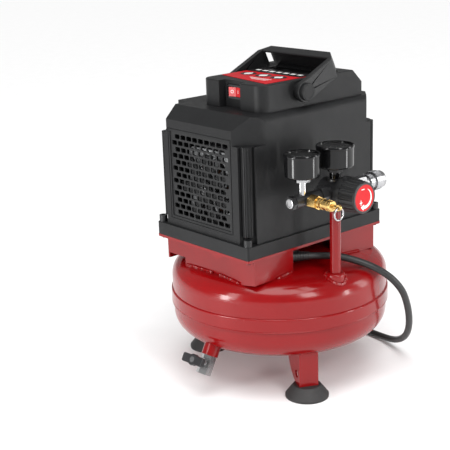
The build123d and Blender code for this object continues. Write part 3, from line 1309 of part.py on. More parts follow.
ROD_WIDTH = 10.0
PISTON_RADIUS = BORE_RADIUS - CRANK_THROW - 0.6
PISTON_Z = 286.0
with BuildPart() as connecting_rod:
    pin_centre = (0, CRANK_THROW)
    with BuildSketch(shaft_plane.offset(CYLINDER_X - ROD_WIDTH / 2)):
        with Locations(pin_centre):
            Circle(11)
        with Locations((0, (PISTON_Z - SHAFT_Z + CRANK_THROW) / 2)):
            Rectangle(9, PISTON_Z - SHAFT_Z - CRANK_THROW)
        with Locations(pin_centre):
            Circle(CRANK_PIN_RADIUS + RUNNING_GAP, mode=Mode.SUBTRACT)
    extrude(amount=ROD_WIDTH)
    with BuildSketch(Plane.XY.offset(PISTON_Z - 4)):
        with Locations((CYLINDER_X, SHAFT_Y)):
            Circle(PISTON_RADIUS)
    extrude(amount=8)
save(connecting_rod.part, "connecting_rod")

HEAD_SIZE = 60.0
HEAD_TOP_Z = 314.0
with BuildPart() as cylinder_head:
    with BuildSketch(Plane.XY.offset(CYLINDER_TOP_Z)):
        with Locations((CYLINDER_X, SHAFT_Y)):
            RectangleRounded(HEAD_SIZE, HEAD_SIZE, 6)
    extrude(amount=HEAD_TOP_Z - CYLINDER_TOP_Z)
    with BuildSketch(Plane.XY.offset(CYLINDER_TOP_Z + 9)):
        with Locations((CYLINDER_X, SHAFT_Y)):
            with GridLocations(0, 8, 1, 7):
                Rectangle(HEAD_SIZE, 4.5)
    extrude(amount=HEAD_TOP_Z, mode=Mode.SUBTRACT)
save(cylinder_head.part, "cylinder_head")

PIPE_RADIUS = 4.0
HEAD_FACE_X = CYLINDER_X + HEAD_SIZE / 2
PIPE_Z = CYLINDER_TOP_Z + 4.5
VALVE_TOP_Z = 166.0
with BuildPart() as discharge_pipe:
    with BuildLine():
        FilletPolyline(
            (HEAD_FACE_X, SHAFT_Y, PIPE_Z),
            (CHECK_VALVE_X, SHAFT_Y, PIPE_Z),
            (CHECK_VALVE_X, SHAFT_Y, VALVE_TOP_Z),
            radius=12,
        )
    with BuildSketch(Plane(origin=(HEAD_FACE_X, SHAFT_Y, PIPE_Z), z_dir=(1, 0, 0))):
        Circle(PIPE_RADIUS)
    sweep()
save(discharge_pipe.part, "discharge_pipe")

with BuildPart() as check_valve:
    valve_root = dome_z(sqrt(CHECK_VALVE_X**2 + SHAFT_Y**2))
    with BuildSketch(Plane.XY.offset(valve_root - 6)):
        with Locations((CHECK_VALVE_X, SHAFT_Y)):
            Circle(CHECK_THREAD - RUNNING_GAP)
    extrude(amount=VALVE_TOP_Z - valve_root + 6)
    with BuildSketch(Plane.XY.offset(valve_root + 2)):
        with Locations((CHECK_VALVE_X, SHAFT_Y)):
            RegularPolygon(9.0, 6, major_radius=False)
    extrude(amount=9)
    with BuildSketch(Plane.XY.offset(valve_root - 6)):
        with Locations((CHECK_VALVE_X, SHAFT_Y)):
            Circle(2.5)
    extrude(amount=VALVE_TOP_Z, mode=Mode.SUBTRACT)
save(check_valve.part, "check_valve")

MOUNT_X = (-60.0, 30.0)
CRADLE_HEIGHT = 4.0
ISOLATOR_HEIGHT = 8.0
with BuildPart() as motor_cradle:
    with BuildSketch(Plane.XY.offset(CRADLE_Z + ISOLATOR_HEIGHT)):
        with Locations((sum(MOUNT_X) / 2, SHAFT_Y)):
            Rectangle(MOUNT_X[1] - MOUNT_X[0] + 24, 82)
    extrude(amount=CRADLE_HEIGHT)
    saddle_z = CRADLE_Z + ISOLATOR_HEIGHT + CRADLE_HEIGHT
    for x_mid, width, top in ((sum(STATOR_X) / 2, 30, SHAFT_Z - STATOR_SIZE / 2), (CYLINDER_X, 40, CRANKCASE_Z[0])):
        with BuildSketch(Plane.XY.offset(saddle_z)):
            with Locations((x_mid, SHAFT_Y)):
                Rectangle(width, 60)
        extrude(amount=top - saddle_z)
    with BuildSketch(Plane.XY.offset(CRADLE_Z)):
        with Locations((sum(MOUNT_X) / 2, SHAFT_Y)):
            with GridLocations(MOUNT_X[1] - MOUNT_X[0], 64, 2, 2):
                Circle(8)
    extrude(amount=ISOLATOR_HEIGHT)
save(motor_cradle.part, "motor_cradle")

with BuildPart() as pressure_switch:
    with BuildSketch(Plane.XY.offset(CRADLE_Z)):
        with Locations((59, -37)):
            RectangleRounded(30, 34, 3)
    extrude(amount=46)
save(pressure_switch.part, "pressure_switch")

# ---- power cord -----------------------------------------------------------------------------------

# the free stretch: out under the deck, over the tank's rim, down to the floor and round behind
CORD_PATH = [
    (-38.0, -64.0, 156.0),
    (-16.0, -77.0, 155.0),
    (4.0, -92.0, 153.0),
    (18.0, -107.0, 147.5),
    (32.0, -121.0, 139.5),
    (47.0, -131.0, 127.0),
    (60.0, -137.0, 110.0),
    (72.0, -134.0, 92.0),
    (86.0, -127.0, 68.0),
    (100.0, -115.0, 44.0),
    (114.0, -97.0, 24.0),
    (125.0, -73.0, 10.0),
    (133.0, -44.0, 5.0),
    (136.0, -8.0, 4.3),
    (133.0, 34.0, 4.3),
    (125.0, 78.0, 4.3),
    (112.0, 118.0, 4.3),
    (95.0, 150.0, 4.3),
]
FLOOR_GAP = 0.3


def cord_radii(points):
    """Radius of the arc at each inner point: 0.45 of the shorter run over tan of half the turn."""
    radii = []
    for before, at, after in zip(points, points[1:], points[2:]):
        run_in, run_out = Vector(*at) - Vector(*before), Vector(*after) - Vector(*at)
        turn = radians(run_in.get_angle(run_out))
        radii.append(0.45 * min(run_in.length, run_out.length) / tan(turn / 2))
    return radii


path_radii = cord_radii(CORD_PATH)
print("cord arc radii", [round(radius, 1) for radius in path_radii])
first_run = (Vector(*CORD_PATH[1]) - Vector(*CORD_PATH[0])).normalized()
last_run = (Vector(*CORD_PATH[-1]) - Vector(*CORD_PATH[-2])).normalized()
with BuildPart() as power_cord:
    with BuildLine() as cord_line:
        FilletPolyline(*CORD_PATH, radius=path_radii)
    with BuildSketch(Plane(origin=CORD_PATH[0], z_dir=first_run)):
        Circle(CORD_RADIUS)
    sweep()
cord_length = sum(edge.length for edge in cord_line.edges())
section_volume = pi * CORD_RADIUS**2 * cord_length
print("cord length", round(cord_length, 1), "volume over section", power_cord.part.volume / section_volume)
save(power_cord.part, "power_cord")

# the rest lies in a coil of two turns on two, which the cord enters on its outer bottom turn
coil_centre = Vector(*CORD_PATH[-1]) + Vector(-last_run.Y, last_run.X, 0) * (COIL_TURN_RADIUS + CORD_RADIUS)
with BuildPart() as power_cord_coil:
    with BuildSketch(Plane.XY.offset(FLOOR_GAP)):
        with Locations((coil_centre.X, coil_centre.Y)):
            Circle(COIL_TURN_RADIUS + 2 * CORD_RADIUS)
            Circle(COIL_TURN_RADIUS - 2 * CORD_RADIUS, mode=Mode.SUBTRACT)
    extrude(amount=4 * CORD_RADIUS)
    fillet(power_cord_coil.edges(), CORD_RADIUS * 0.8)
save(power_cord_coil.part, "power_cord_coil")

TAIL_EXIT_DEG = 35.0
TAIL_LENGTH = 42.0
PLUG_HEIGHT = 18.0
PLUG_LENGTH = 36.0
PLUG_WIDTH = 26.0
PLUG_TAPER = 14.0
tail_way = Vector(-sin(radians(TAIL_EXIT_DEG)), cos(radians(TAIL_EXIT_DEG)), 0)
tail_root = polar(COIL_TURN_RADIUS + CORD_RADIUS, TAIL_EXIT_DEG)
tail_start = Vector(coil_centre.X + tail_root[0], coil_centre.Y + tail_root[1], FLOOR_GAP + 3 * CORD_RADIUS)
plug_back = tail_start + tail_way * TAIL_LENGTH
plug_back.Z = FLOOR_GAP + PLUG_HEIGHT / 2
plug_across = Vector(0, 0, 1).cross(tail_way)
with BuildPart() as power_cord_tail:
    with BuildLine():
        Line(tail_start, plug_back)
    with BuildSketch(Plane(origin=tail_start, z_dir=plug_back - tail_start)):
        Circle(CORD_RADIUS)
    sweep()
save(power_cord_tail.part, "power_cord_tail")


def plug_plane(along):
    """Cross-section plane of the plug at a distance from the end that the cord enters."""
    return Plane(origin=plug_back + tail_way * along, x_dir=plug_across, z_dir=tail_way)


# moulded three-blade mains plug, lying with its blades away from the coil
with BuildPart() as power_plug:
    with BuildSketch(plug_plane(AXIS_PLAIN)):
        RectangleRounded(12, 12, 4)
    with BuildSketch(plug_plane(PLUG_TAPER)):
        RectangleRounded(PLUG_WIDTH, PLUG_HEIGHT, 5)
    loft()
    with BuildSketch(plug_plane(PLUG_TAPER)):
        RectangleRounded(PLUG_WIDTH, PLUG_HEIGHT, 5)
    extrude(amount=PLUG_LENGTH - PLUG_TAPER)
    with BuildSketch(plug_plane(PLUG_LENGTH)):
        with Locations((-6.35, 2), (6.35, 2)):
            Rectangle(1.5, 6.4)
        with Locations((0, -5)):
            Circle(2.4)
    extrude(amount=17.0)
save(power_plug.part, "power_plug")

# strain relief moulded to a block under the deck, behind the left bracket's front return
GLAND_LENGTH = 8.0
GLAND_BLOCK = 11.0
gland_back = Vector(*CORD_PATH[0]) - first_run * GLAND_LENGTH
with BuildPart() as cord_gland:
    with BuildSketch(Plane(origin=CORD_PATH[0], z_dir=-first_run)):
        Circle(CORD_RADIUS + 1.5)
    extrude(amount=GLAND_LENGTH)
    with BuildSketch(Plane.XY.offset(CORD_PATH[0][2] - GLAND_BLOCK / 2 - 1)):
        with Locations((gland_back.X, gland_back.Y)):
            Rectangle(GLAND_BLOCK, GLAND_BLOCK)
    extrude(amount=DECK_Z - CORD_PATH[0][2] + GLAND_BLOCK / 2 + 1)
save(cord_gland.part, "cord_gland")
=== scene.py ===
"""Pancake air compressor: finishes, fine detail, power cord, light and camera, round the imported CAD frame.

Metres. +Z up, +X right along the control side, +Y to the back, origin on the tank's axis at the floor.
Small lengths are in millimetres, times MM. Places come from the frame's joints and the nodes' boxes.
"""

import json
from math import atan2, cos, dist, pi, radians, sin, sqrt, tau

import bmesh
import bpy
from mathutils import Matrix, Vector
from mathutils.bvhtree import BVHTree
from mathutils.noise import noise


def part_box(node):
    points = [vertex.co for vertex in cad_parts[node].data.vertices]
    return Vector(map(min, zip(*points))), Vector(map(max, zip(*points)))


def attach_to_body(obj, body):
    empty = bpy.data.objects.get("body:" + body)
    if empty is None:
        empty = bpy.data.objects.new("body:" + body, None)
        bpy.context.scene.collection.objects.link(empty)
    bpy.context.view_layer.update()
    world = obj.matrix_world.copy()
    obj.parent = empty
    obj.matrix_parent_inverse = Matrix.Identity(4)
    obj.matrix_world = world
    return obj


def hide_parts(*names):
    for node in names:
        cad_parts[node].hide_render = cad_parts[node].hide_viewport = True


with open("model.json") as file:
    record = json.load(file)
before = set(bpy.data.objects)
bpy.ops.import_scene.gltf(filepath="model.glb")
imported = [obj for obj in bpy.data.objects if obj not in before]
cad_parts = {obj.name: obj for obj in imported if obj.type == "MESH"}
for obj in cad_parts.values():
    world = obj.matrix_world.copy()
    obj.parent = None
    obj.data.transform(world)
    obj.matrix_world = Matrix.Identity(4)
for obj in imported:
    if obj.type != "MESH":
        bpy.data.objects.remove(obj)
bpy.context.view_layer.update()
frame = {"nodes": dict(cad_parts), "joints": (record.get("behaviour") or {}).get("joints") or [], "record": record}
nodes = frame["nodes"]
scene = bpy.context.scene
ROOT = "compressor"
MM = 0.001
UP = Vector((0, 0, 1))
RIGHT = Vector((1, 0, 0))
FRONT = Vector((0, -1, 0))
joint_at = {joint["name"]: Vector(joint["pos_m"]) for joint in frame["joints"] if "pos_m" in joint}

# ---- camera --------------------------------------------------------------------------------------

CAMERA_AT = Vector((-0.842695, -0.887868, 0.53647))
CAMERA_AZIMUTH = radians(-40.61)
CAMERA_ELEVATION = radians(16.544)
CAMERA_ROLL = radians(-1.98)
CAMERA_LENS = 87.484
CAMERA_SENSOR = 36.0
CAMERA_CLIP = (0.05, 20.0)


def frame_matrix(x_axis, y_axis, z_axis, origin):
    """4x4 matrix whose columns are three axes and an origin."""
    rows = [(x_axis[i], y_axis[i], z_axis[i], origin[i]) for i in range(3)]
    return Matrix((*rows, (0, 0, 0, 1)))


def make_camera():
    """The camera, turned by azimuth and elevation and then rolled about its own line of sight."""
    across, along = sin(CAMERA_AZIMUTH), -cos(CAMERA_AZIMUTH)
    level = cos(CAMERA_ELEVATION)
    back = Vector((across * level, along * level, sin(CAMERA_ELEVATION)))
    level_right = (-back).cross(UP).normalized()
    level_up = level_right.cross(-back)
    right = level_right * cos(CAMERA_ROLL) + level_up * sin(CAMERA_ROLL)
    up = level_up * cos(CAMERA_ROLL) - level_right * sin(CAMERA_ROLL)
    camera = bpy.data.objects.new("camera", bpy.data.cameras.new("camera"))
    camera.data.lens = CAMERA_LENS
    camera.data.sensor_width = CAMERA_SENSOR
    camera.data.clip_start, camera.data.clip_end = CAMERA_CLIP
    camera.matrix_world = frame_matrix(right, up, back, CAMERA_AT)
    scene.collection.objects.link(camera)
    scene.camera = camera


make_camera()

# ---- power cord ----------------------------------------------------------------------------------

CORD_RADIUS = 4.0 * MM
CORD_ROUTE = [
    (-0.0380, -0.0640, 0.1560),
    (-0.0160, -0.0770, 0.1550),
    (0.0040, -0.0920, 0.1530),
    (0.0180, -0.1070, 0.1475),
    (0.0320, -0.1210, 0.1395),
    (0.0470, -0.1310, 0.1270),
    (0.0600, -0.1370, 0.1100),
    (0.0720, -0.1340, 0.0920),
    (0.0860, -0.1270, 0.0680),
    (0.1000, -0.1150, 0.0440),
    (0.1140, -0.0970, 0.0240),
    (0.1250, -0.0730, 0.0100),
    (0.1330, -0.0440, 0.0050),
    (0.1360, -0.0080, 0.0043),
    (0.1330, 0.0340, 0.0043),
    (0.1250, 0.0780, 0.0043),
    (0.1120, 0.1180, 0.0043),
    (0.0950, 0.1500, 0.0043),
]
COIL_OUTER, COIL_INNER = 48 * MM, 40 * MM
COIL_LOW_Z, COIL_HIGH_Z = 4.3 * MM, 12.3 * MM
COIL_STEPS = 16  # control points to a turn
COIL_TURNS = 4
CROSSING = 0.25  # the share of a turn in which the cord crosses to its next place
SWELL_POWER = 0.75
TAIL_EXIT = radians(35.0)
TAIL_LENGTH = 42 * MM
TAIL_BEND = 0.45
PLUG_BACK_Z = 9.3 * MM

last_way = (Vector(CORD_ROUTE[-1]) - Vector(CORD_ROUTE[-2])).normalized()
COIL_CENTRE = Vector(CORD_ROUTE[-1]) + Vector((-last_way.y, last_way.x, 0)) * COIL_OUTER


def ease(x):
    """Smooth step from 0 to 1."""
    x = min(max(x, 0.0), 1.0)
    return x * x * (3 - 2 * x)


def early(x):
    """A value from 0 to 1 that rises fast at first and slowly at the end."""
    return sqrt(2 * x - x**2)


def coil_place(turns):
    """Radius and height in the coil after a number of turns: in, then up, then out again."""
    inward = ease((turns - (1 - CROSSING)) / CROSSING) ** 2
    upward = early(ease((turns - (2 - CROSSING)) / CROSSING) ** 2)
    outward = early(early(ease((turns - (3 - CROSSING)) / CROSSING) ** 2))
    radius = COIL_OUTER + (COIL_INNER - COIL_OUTER) * (inward - outward)
    return radius, COIL_LOW_Z + (COIL_HIGH_Z - COIL_LOW_Z) * upward


def cord_points():
    """Control points of the whole cord: its route, the turns of its coil and its tail."""
    points = [Vector(p) for p in CORD_ROUTE]
    start = atan2(points[-1].y - COIL_CENTRE.y, points[-1].x - COIL_CENTRE.x)
    swell = 1 / cos(pi / COIL_STEPS) ** SWELL_POWER  # the line runs inside its control points
    total = COIL_TURNS + (TAIL_EXIT - start) / tau
    for step in range(1, int(total * COIL_STEPS) + 1):
        turns = step / COIL_STEPS
        radius, z = coil_place(turns)
        angle = start + turns * tau
        reach = radius * swell
        out = Vector((reach * cos(angle), reach * sin(angle), z - COIL_CENTRE.z))
        points.append(COIL_CENTRE + out)
    way = Vector((-sin(TAIL_EXIT), cos(TAIL_EXIT), 0))
    leave = COIL_CENTRE + Vector((cos(TAIL_EXIT), sin(TAIL_EXIT), 0)) * COIL_OUTER
    leave.z = COIL_HIGH_Z
    end = leave + way * TAIL_LENGTH
    end.z = PLUG_BACK_Z
    return [*points, leave + way * TAIL_LENGTH * TAIL_BEND, end]


def nurbs(name, points, bevel):
    """An open quadratic NURBS tube through control points."""
    data = bpy.data.curves.new(name, "CURVE")
    data.dimensions = "3D"
    spline = data.splines.new("NURBS")
    spline.points.add(len(points) - 1)
    for spot, point in zip(spline.points, points):
        spot.co = (*point, 1)
        spot.radius = bevel
    spline.order_u = 3
    spline.use_endpoint_u = True
    spline.resolution_u = 8
    data.bevel_depth = 1.0
    data.bevel_resolution = 6
    data.use_fill_caps = True
    piece = bpy.data.objects.new(name, data)
    scene.collection.objects.link(piece)
    return piece


cord = nurbs("cord_lead", cord_points(), CORD_RADIUS)
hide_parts("power_cord", "power_cord_coil", "power_cord_tail")
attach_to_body(cord, ROOT)

# ---- finishes ------------------------------------------------------------------------------------

MIX_FACTOR, MIX_A, MIX_B, MIX_RESULT = 0, 6, 7, 2  # a Mix node's sockets for colours
BUMP_DEPTH = 0.2 * MM
DUST_COLOUR = (0.3, 0.29, 0.28)
PATCH_RANGE = (0.3, 0.7)
SPECK_RANGE = (0.62, 0.8)
SMEAR_RANGE = (0.25, 0.75)
SPECK_SCALE, SMEAR_SCALE = 0.5, 3.1  # of the grain's scale and of the mottle's


def noise_field(tree, place, scale, detail=3.0, rough=0.55):
    """Noise over object space, at a number of features per metre."""
    made = tree.nodes.new("ShaderNodeTexNoise")
    tree.links.new(place, made.inputs["Vector"])
    for label, value in (("Scale", scale), ("Detail", detail), ("Roughness", rough)):
        made.inputs[label].default_value = value
    return made.outputs["Fac"]


def remap(tree, value, span, start=0.0, end=1.0):
    """A value in a span, from its low to its high, moved to start..end."""
    low, high = span
    made = tree.nodes.new("ShaderNodeMapRange")
    tree.links.new(value, made.inputs["Value"])
    for label, number in (("From Min", low), ("From Max", high), ("To Min", start), ("To Max", end)):
        made.inputs[label].default_value = number
    return made.outputs["Result"]


def blend_colour(tree, factor, first, second):
    """A colour between two, by a factor. Either may be another node's output."""
    made = tree.nodes.new("ShaderNodeMix")
    made.data_type = "RGBA"
    tree.links.new(factor, made.inputs[MIX_FACTOR])
    for socket, colour in ((made.inputs[MIX_A], first), (made.inputs[MIX_B], second)):
        if isinstance(colour, bpy.types.NodeSocket):
            tree.links.new(colour, socket)
        else:
            socket.default_value = (*colour, 1)
    return made.outputs[MIX_RESULT]


def shade(colour, factor):
    """A colour made darker or lighter."""
    return tuple(min(1.0, c * factor) for c in colour)


def finish_material(name, colour, rough, grain=0.0, grain_scale=1500.0, mottle=0.1, mottle_scale=25.0,
                    spread=0.06, dust=0.0, **fixed):
    """A procedural finish: mottled colour, uneven roughness, fine surface grain and a little dust."""
    made = bpy.data.materials.new(name)
    made.use_nodes = True
    tree = made.node_tree
    shader = tree.nodes["Principled BSDF"]
    place = tree.nodes.new("ShaderNodeTexCoord").outputs["Object"]

    patches = remap(tree, noise_field(tree, place, mottle_scale), PATCH_RANGE)
    tone = blend_colour(tree, patches, shade(colour, 1 - mottle), shade(colour, 1 + mottle))
    if dust:
        specks = noise_field(tree, place, grain_scale * SPECK_SCALE, detail=4.0)
        tone = blend_colour(tree, remap(tree, specks, SPECK_RANGE, 0.0, dust), tone, DUST_COLOUR)
    tree.links.new(tone, shader.inputs["Base Color"])

    smears = noise_field(tree, place, mottle_scale * SMEAR_SCALE)
    uneven = remap(tree, smears, SMEAR_RANGE, rough - spread, rough + spread)
    tree.links.new(uneven, shader.inputs["Roughness"])
    for label, value in fixed.items():
        shader.inputs[label.replace("_", " ")].default_value = value

    if grain:
        bump = tree.nodes.new("ShaderNodeBump")
        fine = noise_field(tree, place, grain_scale, detail=2.0, rough=0.6)
        tree.links.new(fine, bump.inputs["Height"])
        bump.inputs["Strength"].default_value = grain
        bump.inputs["Distance"].default_value = BUMP_DEPTH
        tree.links.new(bump.outputs["Normal"], shader.inputs["Normal"])
    return made


RED = (0.225, 0.0014, 0.0024)
BLACK = (0.011, 0.0112, 0.0118)

# each finish: its colour, its roughness and what else it has
FINISHES = {
    "red_paint": (RED, 0.22, dict(grain=0.12, grain_scale=420, mottle=0.08, mottle_scale=14,
                                  Coat_Weight=0.25, Coat_Roughness=0.07, Specular_IOR_Level=0.3)),
    "black_housing": (BLACK, 0.46, dict(grain=0.5, grain_scale=2600, mottle=0.12, dust=0.05,
                                        Specular_IOR_Level=0.24)),
    "grille_plastic": (shade(BLACK, 1.1), 0.40, dict(grain=0.35, grain_scale=2400,
                                                     Specular_IOR_Level=0.3)),
    "knob_plastic": (shade(BLACK, 0.9), 0.38, dict(grain=0.4, grain_scale=2200)),
    "handle_plastic": (shade(BLACK, 1.05), 0.38, dict(grain=0.4, grain_scale=2400,
                                                      Specular_IOR_Level=0.32)),
    "red_plastic": ((0.55, 0.004, 0.008), 0.30, dict(grain=0.08, grain_scale=1200,
                                                     Specular_IOR_Level=0.25)),
    "bezel_plastic": ((0.008, 0.008, 0.009), 0.2, dict(grain=0.05)),
    "label_film": ((0.52, 0.004, 0.010), 0.42, dict(grain=0.05, grain_scale=1800,
                                                    Specular_IOR_Level=0.15)),
    "label_dark": ((0.012, 0.010, 0.011), 0.32, dict(grain=0.05, grain_scale=1800)),
    "print_white": ((0.82, 0.82, 0.80), 0.45, dict(grain=0.05, mottle=0.03)),
    "foot_rubber": ((0.020, 0.019, 0.019), 0.62, dict(grain=0.5, grain_scale=1700, dust=0.1)),
    "cord_rubber": ((0.012, 0.012, 0.012), 0.40, dict(grain=0.35, grain_scale=1900)),
    "brass": ((0.70, 0.47, 0.17), 0.24, dict(Metallic=1.0, grain=0.08, grain_scale=900, mottle=0.14)),
    "cast_zinc": ((0.016, 0.016, 0.017), 0.36, dict(grain=0.25, grain_scale=1300, Coat_Weight=0.2)),
    "chrome": ((0.46, 0.46, 0.47), 0.19, dict(Metallic=1.0, grain=0.03, grain_scale=700, spread=0.04)),
    "plated_steel": ((0.40, 0.40, 0.405), 0.27, dict(Metallic=1.0, grain=0.12, grain_scale=1200)),
    "gauge_black": ((0.005, 0.005, 0.0055), 0.12, dict(grain=0.03, grain_scale=600, spread=0.03,
                                                       Specular_IOR_Level=0.35)),
    "dial_black": ((0.012, 0.012, 0.013), 0.42, dict(grain=0.1)),
    "needle_white": ((0.85, 0.85, 0.83), 0.4, dict(grain=0.05)),
    "lever_steel": ((0.03, 0.03, 0.032), 0.35, dict(Metallic=0.4, grain=0.15)),
    "black_steel": ((0.014, 0.014, 0.015), 0.34, dict(Metallic=0.3, grain=0.12)),
    "cast_aluminium": ((0.55, 0.56, 0.57), 0.45, dict(Metallic=1.0, grain=0.5, grain_scale=1100)),
    "crank_iron": ((0.22, 0.22, 0.23), 0.4, dict(Metallic=1.0, grain=0.3)),
    "lamination_steel": ((0.28, 0.28, 0.30), 0.45, dict(Metallic=1.0, grain=0.3)),
    "copper_winding": ((0.55, 0.20, 0.07), 0.35, dict(Metallic=1.0, grain=0.5, grain_scale=800)),
    "copper_tube": ((0.62, 0.62, 0.63), 0.3, dict(Metallic=1.0, grain=0.1)),
    "fan_plastic": ((0.02, 0.02, 0.021), 0.5, dict(grain=0.3)),
    "cradle_steel": ((0.10, 0.10, 0.105), 0.45, dict(Metallic=0.6, grain=0.2)),
    "switch_box": ((0.02, 0.02, 0.022), 0.5, dict(grain=0.4)),
    "gauge_lens": ((1.0, 1.0, 1.0), 0.06, dict(grain=0.02, mottle=0.0, spread=0.02, IOR=1.45,
                                               Transmission_Weight=1.0)),
}
finishes = {}
for name, (colour, rough, more) in FINISHES.items():
    finishes[name] = finish_material(name, colour, rough, **more)

# the slots whose finish has another name, and the nodes that take another finish than their slot's
SLOT_FINISH = {
    "gauge_case": "gauge_black",
    "gauge_dial": "dial_black",
    "gauge_needle": "needle_white",
    "rod_aluminium": "cast_aluminium",
}
NODE_FINISH = {
    "carry_handle": "handle_plastic",
    "manifold_end_plug": "gauge_black",
    "outlet_gauge_stem": "gauge_black",
}


def paint(piece, finish):
    """Gives a piece one finish."""
    piece.data.materials.clear()
    piece.data.materials.append(finishes[finish])


for part in frame["record"]["subparts"]:
    name, slot = part["node"], part["material_slot"]
    paint(nodes[name], NODE_FINISH.get(name, SLOT_FINISH.get(slot, slot)))
paint(cord, "cord_rubber")

# ---- edges of the moulded and pressed pieces -----------------------------------------------------

EDGE_ANGLE = radians(32.0)
EDGE_WELD = 0.002 * MM
SOFT_EDGES = {
    "housing_cover": 1.0 * MM,
    "base_tray": 0.9 * MM,
    "base_plate": 0.5 * MM,
    "control_pod": 0.8 * MM,
    "carry_handle": 1.0 * MM,
    "bracket_left": 0.6 * MM,
    "bracket_right": 0.6 * MM,
    "tank_legs": 0.5 * MM,
}


def soften(piece, width):
    """Rounds a CAD node's sharp edges with a narrow bevel."""
    weld = piece.modifiers.new("weld", "WELD")
    weld.merge_threshold = EDGE_WELD
    bevel = piece.modifiers.new("bevel", "BEVEL")
    bevel.width = width
    bevel.segments = 2
    bevel.limit_method = "ANGLE"
    bevel.angle_limit = EDGE_ANGLE
    bevel.use_clamp_overlap = True
    normals = piece.modifiers.new("normals", "WEIGHTED_NORMAL")
    normals.weight = 100
    normals.keep_sharp = True
    for face in piece.data.polygons:
        face.use_smooth = True


for name, width in SOFT_EDGES.items():
    soften(nodes[name], width)

# ---- helpers for the finer pieces ----------------------------------------------------------------

SHARP_ANGLE = radians(38.0)
BEAD_SIDES = 8
BEAD_ROUGHNESS = 0.12
BEAD_ROUGHNESS_SCALE = 900
BEAD_SIDEWAYS = (0.13, 0.21, 0.97)  # a direction that no bead runs along


def mm(*pairs):
    """Pairs of lengths given in millimetres."""
    return [(a * MM, b * MM) for a, b in pairs]


def placed(origin, z_axis, x_axis=RIGHT):
    """A frame at a point, with its z axis one way and its x axis as near another as it can be."""
    z = Vector(z_axis).normalized()
    x = Vector(x_axis)
    x = (x - z * x.dot(z)).normalized()
    return frame_matrix(x, z.cross(x), z, origin)


def polar(angle, reach):
    """The two coordinates of a point at an angle and a distance."""
    return reach * cos(angle), reach * sin(angle)


def full_turn(count):
    """Evenly spaced angles round a full turn."""
    return [tau * i / count for i in range(count)]


def turned(at, angle):
    """A frame turned about its own z axis."""
    return at @ Matrix.Rotation(angle, 4, "Z")


def ring(form, at, radius, along, segments):
    """A ring of points about a frame's z axis, or one point where the radius is nothing."""
    if radius == 0:
        return [form.verts.new(at @ Vector((0, 0, along)))]
    around = [Vector((radius * cos(t), radius * sin(t), along)) for t in full_turn(segments)]
    return [form.verts.new(at @ point) for point in around]


def bridge(form, low, high):
    """Faces between two rings, either of which may be a single point."""
    count = max(len(low), len(high))
    for i in range(count):
        j = (i + 1) % count
        if len(low) == 1:
            form.faces.new((low[0], high[j], high[i]))
        elif len(high) == 1:
            form.faces.new((low[i], low[j], high[0]))
        else:
            form.faces.new((low[i], low[j], high[j], high[i]))


def skin(form, rings, closed):
    """Faces along a row of rings, and from the last back to the first where it is closed."""
    for low, high in zip(rings, rings[1:] + rings[:1] if closed else rings[1:]):
        bridge(form, low, high)


def lathe(form, at, profile, segments=40, closed=False):
    """Turns (radius, height) points about a frame's z axis."""
    skin(form, [ring(form, at, radius, along, segments) for radius, along in profile], closed)


def plate(form, at, outline, low, high):
    """A plate of any outline on a frame's xy plane."""
    bottoms = [form.verts.new(at @ Vector((x, y, low))) for x, y in outline]
    tops = [form.verts.new(at @ Vector((x, y, high))) for x, y in outline]
    form.faces.new(bottoms[::-1])
    form.faces.new(tops)
    bridge(form, bottoms, tops)


def bar(form, at, middle, size, low, high):
    """A rectangular plate about a point of a frame."""
    (x, y), (w, h) = middle, (size[0] / 2, size[1] / 2)
    plate(form, at, [(x - w, y - h), (x + w, y - h), (x + w, y + h), (x - w, y + h)], low, high)


def disc(form, at, middle, size, low, high, segments=32):
    """An oval plate about a point of a frame."""
    (x, y), (w, h) = middle, (size[0] / 2, size[1] / 2)
    plate(form, at, [(x + w * cos(t), y + h * sin(t)) for t in full_turn(segments)], low, high)


def bead(form, path, radius, ripple=0.18, closed=False):
    """A weld bead: a tube along points, swelling and thinning from one ripple to the next."""
    rings = []
    count = len(path)
    for i, point in enumerate(path):
        before = path[i - 1] if closed or i else path[0]
        after = path[(i + 1) % count] if closed or i + 1 < count else path[-1]
        at = placed(point, after - before, BEAD_SIDEWAYS)
        uneven = BEAD_ROUGHNESS * noise(point * BEAD_ROUGHNESS_SCALE)
        swell = radius * (1 + ripple * (1 if i % 2 else -1) + uneven)
        if not closed and i in (0, count - 1):
            swell = 0
        rings.append(ring(form, at, swell, 0, BEAD_SIDES))
    skin(form, rings, closed)


def attach(piece, finish, body):
    """Shows a piece, paints it and lets it ride a body."""
    scene.collection.objects.link(piece)
    paint(piece, finish)
    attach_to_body(piece, body)
    return piece


def finished(name, form, finish, body=ROOT):
    """Turns a built form into a painted piece that rides a body."""
    bmesh.ops.recalc_face_normals(form, faces=form.faces)
    mesh = bpy.data.meshes.new(name)
    form.to_mesh(mesh)
    form.free()
    for face in mesh.polygons:
        face.use_smooth = True
    mesh.set_sharp_from_angle(angle=SHARP_ANGLE)
    return attach(bpy.data.objects.new(name, mesh), finish, body)


def lettering(name, words, at, size, height, finish, body=ROOT):
    """Figures cut from thin film, centred on a frame."""
    curve = bpy.data.curves.new(name, "FONT")
    curve.body = words
    curve.size = size
    curve.extrude = height
    curve.align_x, curve.align_y = "CENTER", "CENTER"
    source = bpy.data.objects.new(name + "_source", curve)
    mesh = bpy.data.meshes.new_from_object(source)
    bpy.data.objects.remove(source)
    mesh.transform(at)
    return attach(bpy.data.objects.new(name, mesh), finish, body)


def surface_tree(name):
    """A CAD node's faces, for finding the surface that a bead lies on."""
    piece = nodes[name]
    points = [piece.matrix_world @ v.co for v in piece.data.vertices]
    return BVHTree.FromPolygons(points, [tuple(face.vertices) for face in piece.data.polygons])


# ---- welds ---------------------------------------------------------------------------------------

